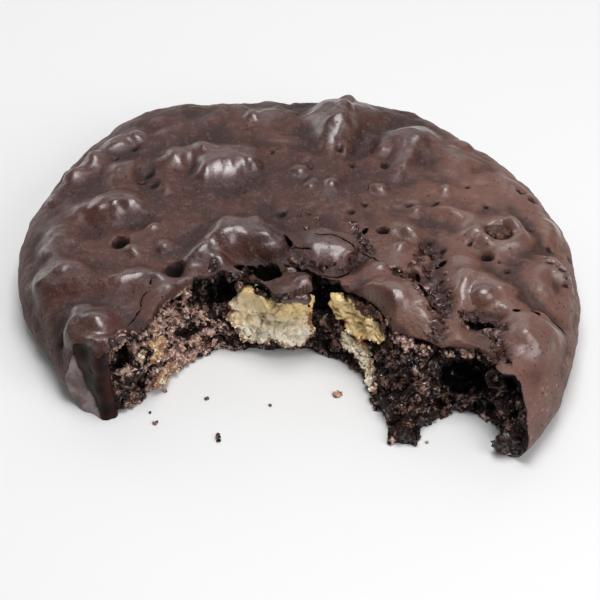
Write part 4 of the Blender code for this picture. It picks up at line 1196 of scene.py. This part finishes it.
# Walnut pieces: lobes as x, y, z and half sizes, and what each looks like. The brown skin lies above
# z + steep * x = level, the flesh is grainy below a height and split at others, and one is smooth in part
walnuts = {
    "nut_centre": {
        "lobes": (
            (-7.6, -9.2, 11.4, 3.3, 4.2, 2.9), (-1.8, -10.2, 11.4, 3.9, 4.2, 3.0),
            (-8.8, -8.8, 7.6, 3.8, 4.2, 3.6), (-2.6, -10.8, 7.4, 4.8, 4.8, 4.2),
            (-7.6, -9.6, 4.9, 3.4, 4.0, 2.6), (-0.6, -12.0, 5.6, 3.3, 4.2, 3.2),
        ),
        "hollow": (-5.5, -7.9, 17.0, 2.9, 2.9, 6.5),
        "skin": (0.35, 14.1),
        "smooth": 1.0,
        "grainy": 7.6,
        "splits": (9.2,),
    },
    "nut_right": {
        "lobes": (
            (8.3, -12.4, 11.7, 3.2, 4.4, 2.7), (12.3, -15.6, 11.5, 3.3, 4.6, 2.9),
            (9.8, -14.8, 9.8, 2.9, 4.2, 2.4),
        ),
        "skin": (0.4, 16.4),
        "grainy": 9.6,
        "splits": (12.6, 11.4, 10.2),
    },
    "nut_right_low": {
        "lobes": (
            (8.2, -14.6, 5.4, 1.9, 2.6, 1.6), (10.6, -16.4, 5.2, 1.9, 2.6, 1.8),
            (11.0, -18.8, 4.0, 1.8, 2.8, 1.7), (12.0, -21.0, 2.6, 1.5, 2.8, 1.4),
        ),
        "splits": (5.2, 3.4),
    },
    "nut_left": {
        "lobes": ((-26.0, -19.8, 8.6, 2.1, 2.6, 2.0), (-24.2, -18.6, 8.0, 1.9, 2.6, 1.8)),
        "splits": (8.4,),
    },
    "nut_left_low": {
        "lobes": ((-24.2, -19.6, 2.3, 1.9, 2.3, 1.5), (-22.4, -18.2, 2.1, 1.5, 2.1, 1.3)),
        "splits": (2.2,),
    },
    "nut_top": {
        "lobes": ((34.8, 2.8, 14.8, 2.5, 2.1, 1.9), (33.7, 3.3, 15.0, 1.7, 1.6, 1.4)),
        "bitten": False,
        "skin": (0.0, 0.0),
        "grainy": 0.0,
    },
}
plainWalnut = {"bitten": True, "skin": (0.0, 30.0), "smooth": 0.0, "grainy": 20.0, "splits": ()}
walnutVoxels = (0.4, 0.18)  # before the cuts and after them
walnutGrains = (0.3, 1.6e6, 5, (0.5, 0.5, 0.45), (1.6, 1.5, 1.2))


def makeWalnut(name, look, material):
    look = plainWalnut | look
    nut = joined(name + "Piece", list(map(ellipsoid, look["lobes"])))
    remesh(nut, walnutVoxels[0])
    if look["bitten"]:
        cut(nut, biteBlock(forward=0.8))
    if "hollow" in look:
        cut(nut, ellipsoid(look["hollow"]))
    remesh(nut, walnutVoxels[1])
    keepLargest(nut)
    points, facing = pointsOf(nut)
    x, z = points[:, 0], points[:, 2]
    inside = np.min([ballShare(points, lobe) for lobe in look["lobes"]], axis=0)
    steep, level = look["skin"]
    skin = ease(z + steep * x + 1.0 * noiseAt(points, 1.8, 10), level, level + 1.6)
    smooth = look["smooth"] * ease(-x, 5.4, 6.6) * ease(z, 9.4, 10.6)
    coarse, gap, _ = cellsAt(points, 2.2, 7)
    crag = 0.9 * (0.5 - coarse) - 0.22 * (1.0 - ease(gap, 0.0, 0.12))
    crag += 0.6 * noiseAt(points, 1.9, 5) + 0.4 * noiseAt(points, 0.8, 6)
    grainy = (1.0 - skin) * ease(-z, -look["grainy"], 1.5 - look["grainy"])
    near, _, _ = cellsAt(points, 0.75, 8)
    crag += 0.5 * grainy * (0.5 - near) + 0.16 * noiseAt(points, 0.4, 8)
    for height in look["splits"]:
        away = np.abs(z - height - 0.5 * noiseAt(points, 2.2, 11))
        crag -= 0.8 * (1.0 - ease(away, 0.08, 0.3)) * ease(noiseAt(points, 1.6, 13), -0.1, 0.1)
    points += facing * (crag * (1.0 - 0.85 * smooth) * (1.0 if look["bitten"] else 0.5))[:, None]
    setPoints(nut, points, bodyFoot)
    paint(nut, "skin", skin)
    edge = ease(inside, 0.78, 0.98) * (1.0 - 0.9 * smooth) * ease(-z, -11.0, -8.0)
    paint(nut, "edge", np.maximum(edge, 0.75 * (x < -20.0)))
    paint(nut, "pale", ease(-z + 1.2 * noiseAt(points, 2.2, 12), -8.4, -5.6))
    paint(nut, "yellow", ease(z + 0.3 * x + noiseAt(points, 2.0, 14), 8.6, 10.4))
    paint(nut, "dull", np.exp(-(((x + 3.6) / 2.4) ** 2) - ((z - 8.6) / 1.5) ** 2) * (1.0 - smooth))
    # low in the crevices, which the finish paints dark as shade
    paint(nut, "raised", ease(crag, -0.8, -0.15))
    paint(nut, "grainy", grainy * ease(noiseAt(points, 1.3, 15), -0.2, 0.2))
    nut.data.materials.clear()
    nut.data.materials.append(material)
    return nut


def makeNutGrains(name, nut, tree, material):
    grains = scattered(name + "Grains", nut, tree, material, walnutGrains)
    points, _ = pointsOf(grains)
    setPoints(grains, points, grainFoot)
    _, _, mark = cellsAt(points, 1.1, 25)
    paint(grains, "pale", ease(mark, 0.3, 0.6))
    paint(grains, "edge", ease(-mark, -0.25, -0.1) + 0.5 * (points[:, 0] < -20.0) * (mark < 0.7))
    paint(grains, "raised", np.ones(len(points)))
    return settle(grains, 50)


# Loose crumbs in the bite: x, y, half size, how warm
looseCrumbs = (
    (-13.8, -31.9, 0.45, 0.1), (-13.7, -32.6, 0.35, 0.1), (-13.9, -31.2, 0.3, 0.3),
    (-24.6, -28.6, 0.35, 0.1), (-24.3, -28.2, 0.25, 0.3), (-16.0, -22.7, 0.35, 0.3),
    (-5.1, -24.3, 0.3, 0.4), (6.4, -21.9, 0.62, 1.0), (7.0, -21.5, 0.4, 1.0), (5.9, -21.6, 0.35, 0.8),
    (-25.6, -26.0, 0.25, 0.2), (-27.6, -23.6, 0.4, 0.9), (-23.2, -20.9, 0.35, 1.0),
    (21.4, -33.0, 0.3, 0.7),
)


def makeLooseCrumbs(material):
    bits = []
    for seed, (x, y, half, _) in enumerate(looseCrumbs):
        bit = ellipsoid((x, y, 0.8 * half, half, 0.8 * half, 0.8 * half), divisions=3)
        bits.append(roughen(bit, lambda points: 0.7 * half * noiseAt(points, 0.8 * half, seed)))
    crumbs = joined("looseCrumbs", bits)
    points, _ = pointsOf(crumbs)
    setPoints(crumbs, points, grainFoot)
    away = np.array([np.hypot(points[:, 0] - x, points[:, 1] - y) for x, y, *_ in looseCrumbs])
    paint(crumbs, "warm", np.array([crumb[3] for crumb in looseCrumbs])[away.argmin(axis=0)])
    paint(crumbs, "raised", np.full(len(points), 0.6))
    crumbs.data.materials.append(material)
    return settle(crumbs, 50)


# The studio: a pale floor, a soft sky, a broad light behind and one overhead
studio = {
    "aim": (0.7, -8.91, 4.42),
    "distance": 420.0,
    "elevation": 43.0,
    "lens": 142.63,
    "sky": 0.24,
    # place in metres, size in metres, power in watts
    "lights": {
        "overheadBox": ((0.02, 0.0, 0.5), (0.26, 0.26), 2.1),
        "leftBox": ((-0.42, 0.42, 0.2), (0.35, 0.3), 0.6),
        "rightBox": ((0.3, -0.26, 0.3), (0.3, 0.3), 1.2),
        "backBox": ((0.05, 0.45, 0.35), (0.7, 0.4), 0.7),
    },
}


def makeStudio():
    scene = bpy.context.scene
    camera = bpy.data.cameras.new("camera")
    camera.sensor_width, camera.lens, camera.clip_start = 36.0, studio["lens"], 0.01
    obj = newObject("camera", camera)
    tilt = math.radians(studio["elevation"])
    look = Vector((0.0, math.cos(tilt), -math.sin(tilt)))
    obj.location = (Vector(studio["aim"]) - look * studio["distance"]) * mm
    obj.rotation_euler = (math.pi / 2 - tilt, 0.0, 0.0)
    scene.camera = obj
    world = bpy.data.worlds.new("softSky")
    world.use_nodes = True
    sky = world.node_tree.nodes["Background"].inputs
    sky["Color"].default_value = (0.97, 0.98, 1.0, 1.0)
    sky["Strength"].default_value = studio["sky"]
    scene.world = world
    scene.view_settings.view_transform = "Standard"
    for name, (spot, size, power) in studio["lights"].items():
        light = bpy.data.lights.new(name, "AREA")
        light.shape, light.size, light.size_y, light.energy = "RECTANGLE", *size, power
        lamp = newObject(name, light)
        lamp.location = spot
        lamp.rotation_euler = (-Vector(spot)).to_track_quat("-Z", "Y").to_euler()
    corners = ((-3000.0, -3000.0, 0.0), (3000.0, -3000.0, 0.0), (3000.0, 3000.0, 0.0), (-3000.0, 3000.0, 0.0))
    obj = meshObject("floor", corners, [(0, 1, 2, 3)])
    finish = Finish("floorFinish", Roughness=0.5)
    cloud = finish.mix(finish.speckle(300.0, 1.0), (0.66, 0.66, 0.66), (0.68, 0.68, 0.68))
    obj.data.materials.append(finish.feed(Base_Color=cloud))


makeStudio()
print("studio ready")
crustMaterial, crumbMaterial, walnutMaterial = crustFinish(), crumbFinish(), walnutFinish()
crust = makeCrust(crustMaterial, crumbMaterial)
print("crust made", len(crust.data.polygons))
crumb = makeCrumb(crumbMaterial)
tree = grainTree()
grains = makeGrains(crumb, tree, crumbMaterial)
flakes = makeFlakes(crust, tree, crustMaterial)
beads = makeBeads(crust, crustMaterial)
settle(crust)
settle(crumb, 60)
print("crumb made", len(crumb.data.polygons), len(grains.data.polygons))
nuts = {}
for name, look in walnuts.items():
    nut = makeWalnut(name, look, walnutMaterial)
    nuts[name] = [nut]
    if name != "nut_top":
        nuts[name].append(makeNutGrains(name, nut, tree, walnutMaterial))
    settle(nut, 60)
print("walnuts made", sum(len(piece.data.polygons) for pieces in nuts.values() for piece in pieces))

looseBits = makeLooseCrumbs(crumbMaterial)
for piece in (crust, flakes, beads, crumb, grains, looseBits):
    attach(piece, "root")
    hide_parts("cookie")
for name, pieces in nuts.items():
    for piece in pieces:
        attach(piece, "root")
        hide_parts(name)
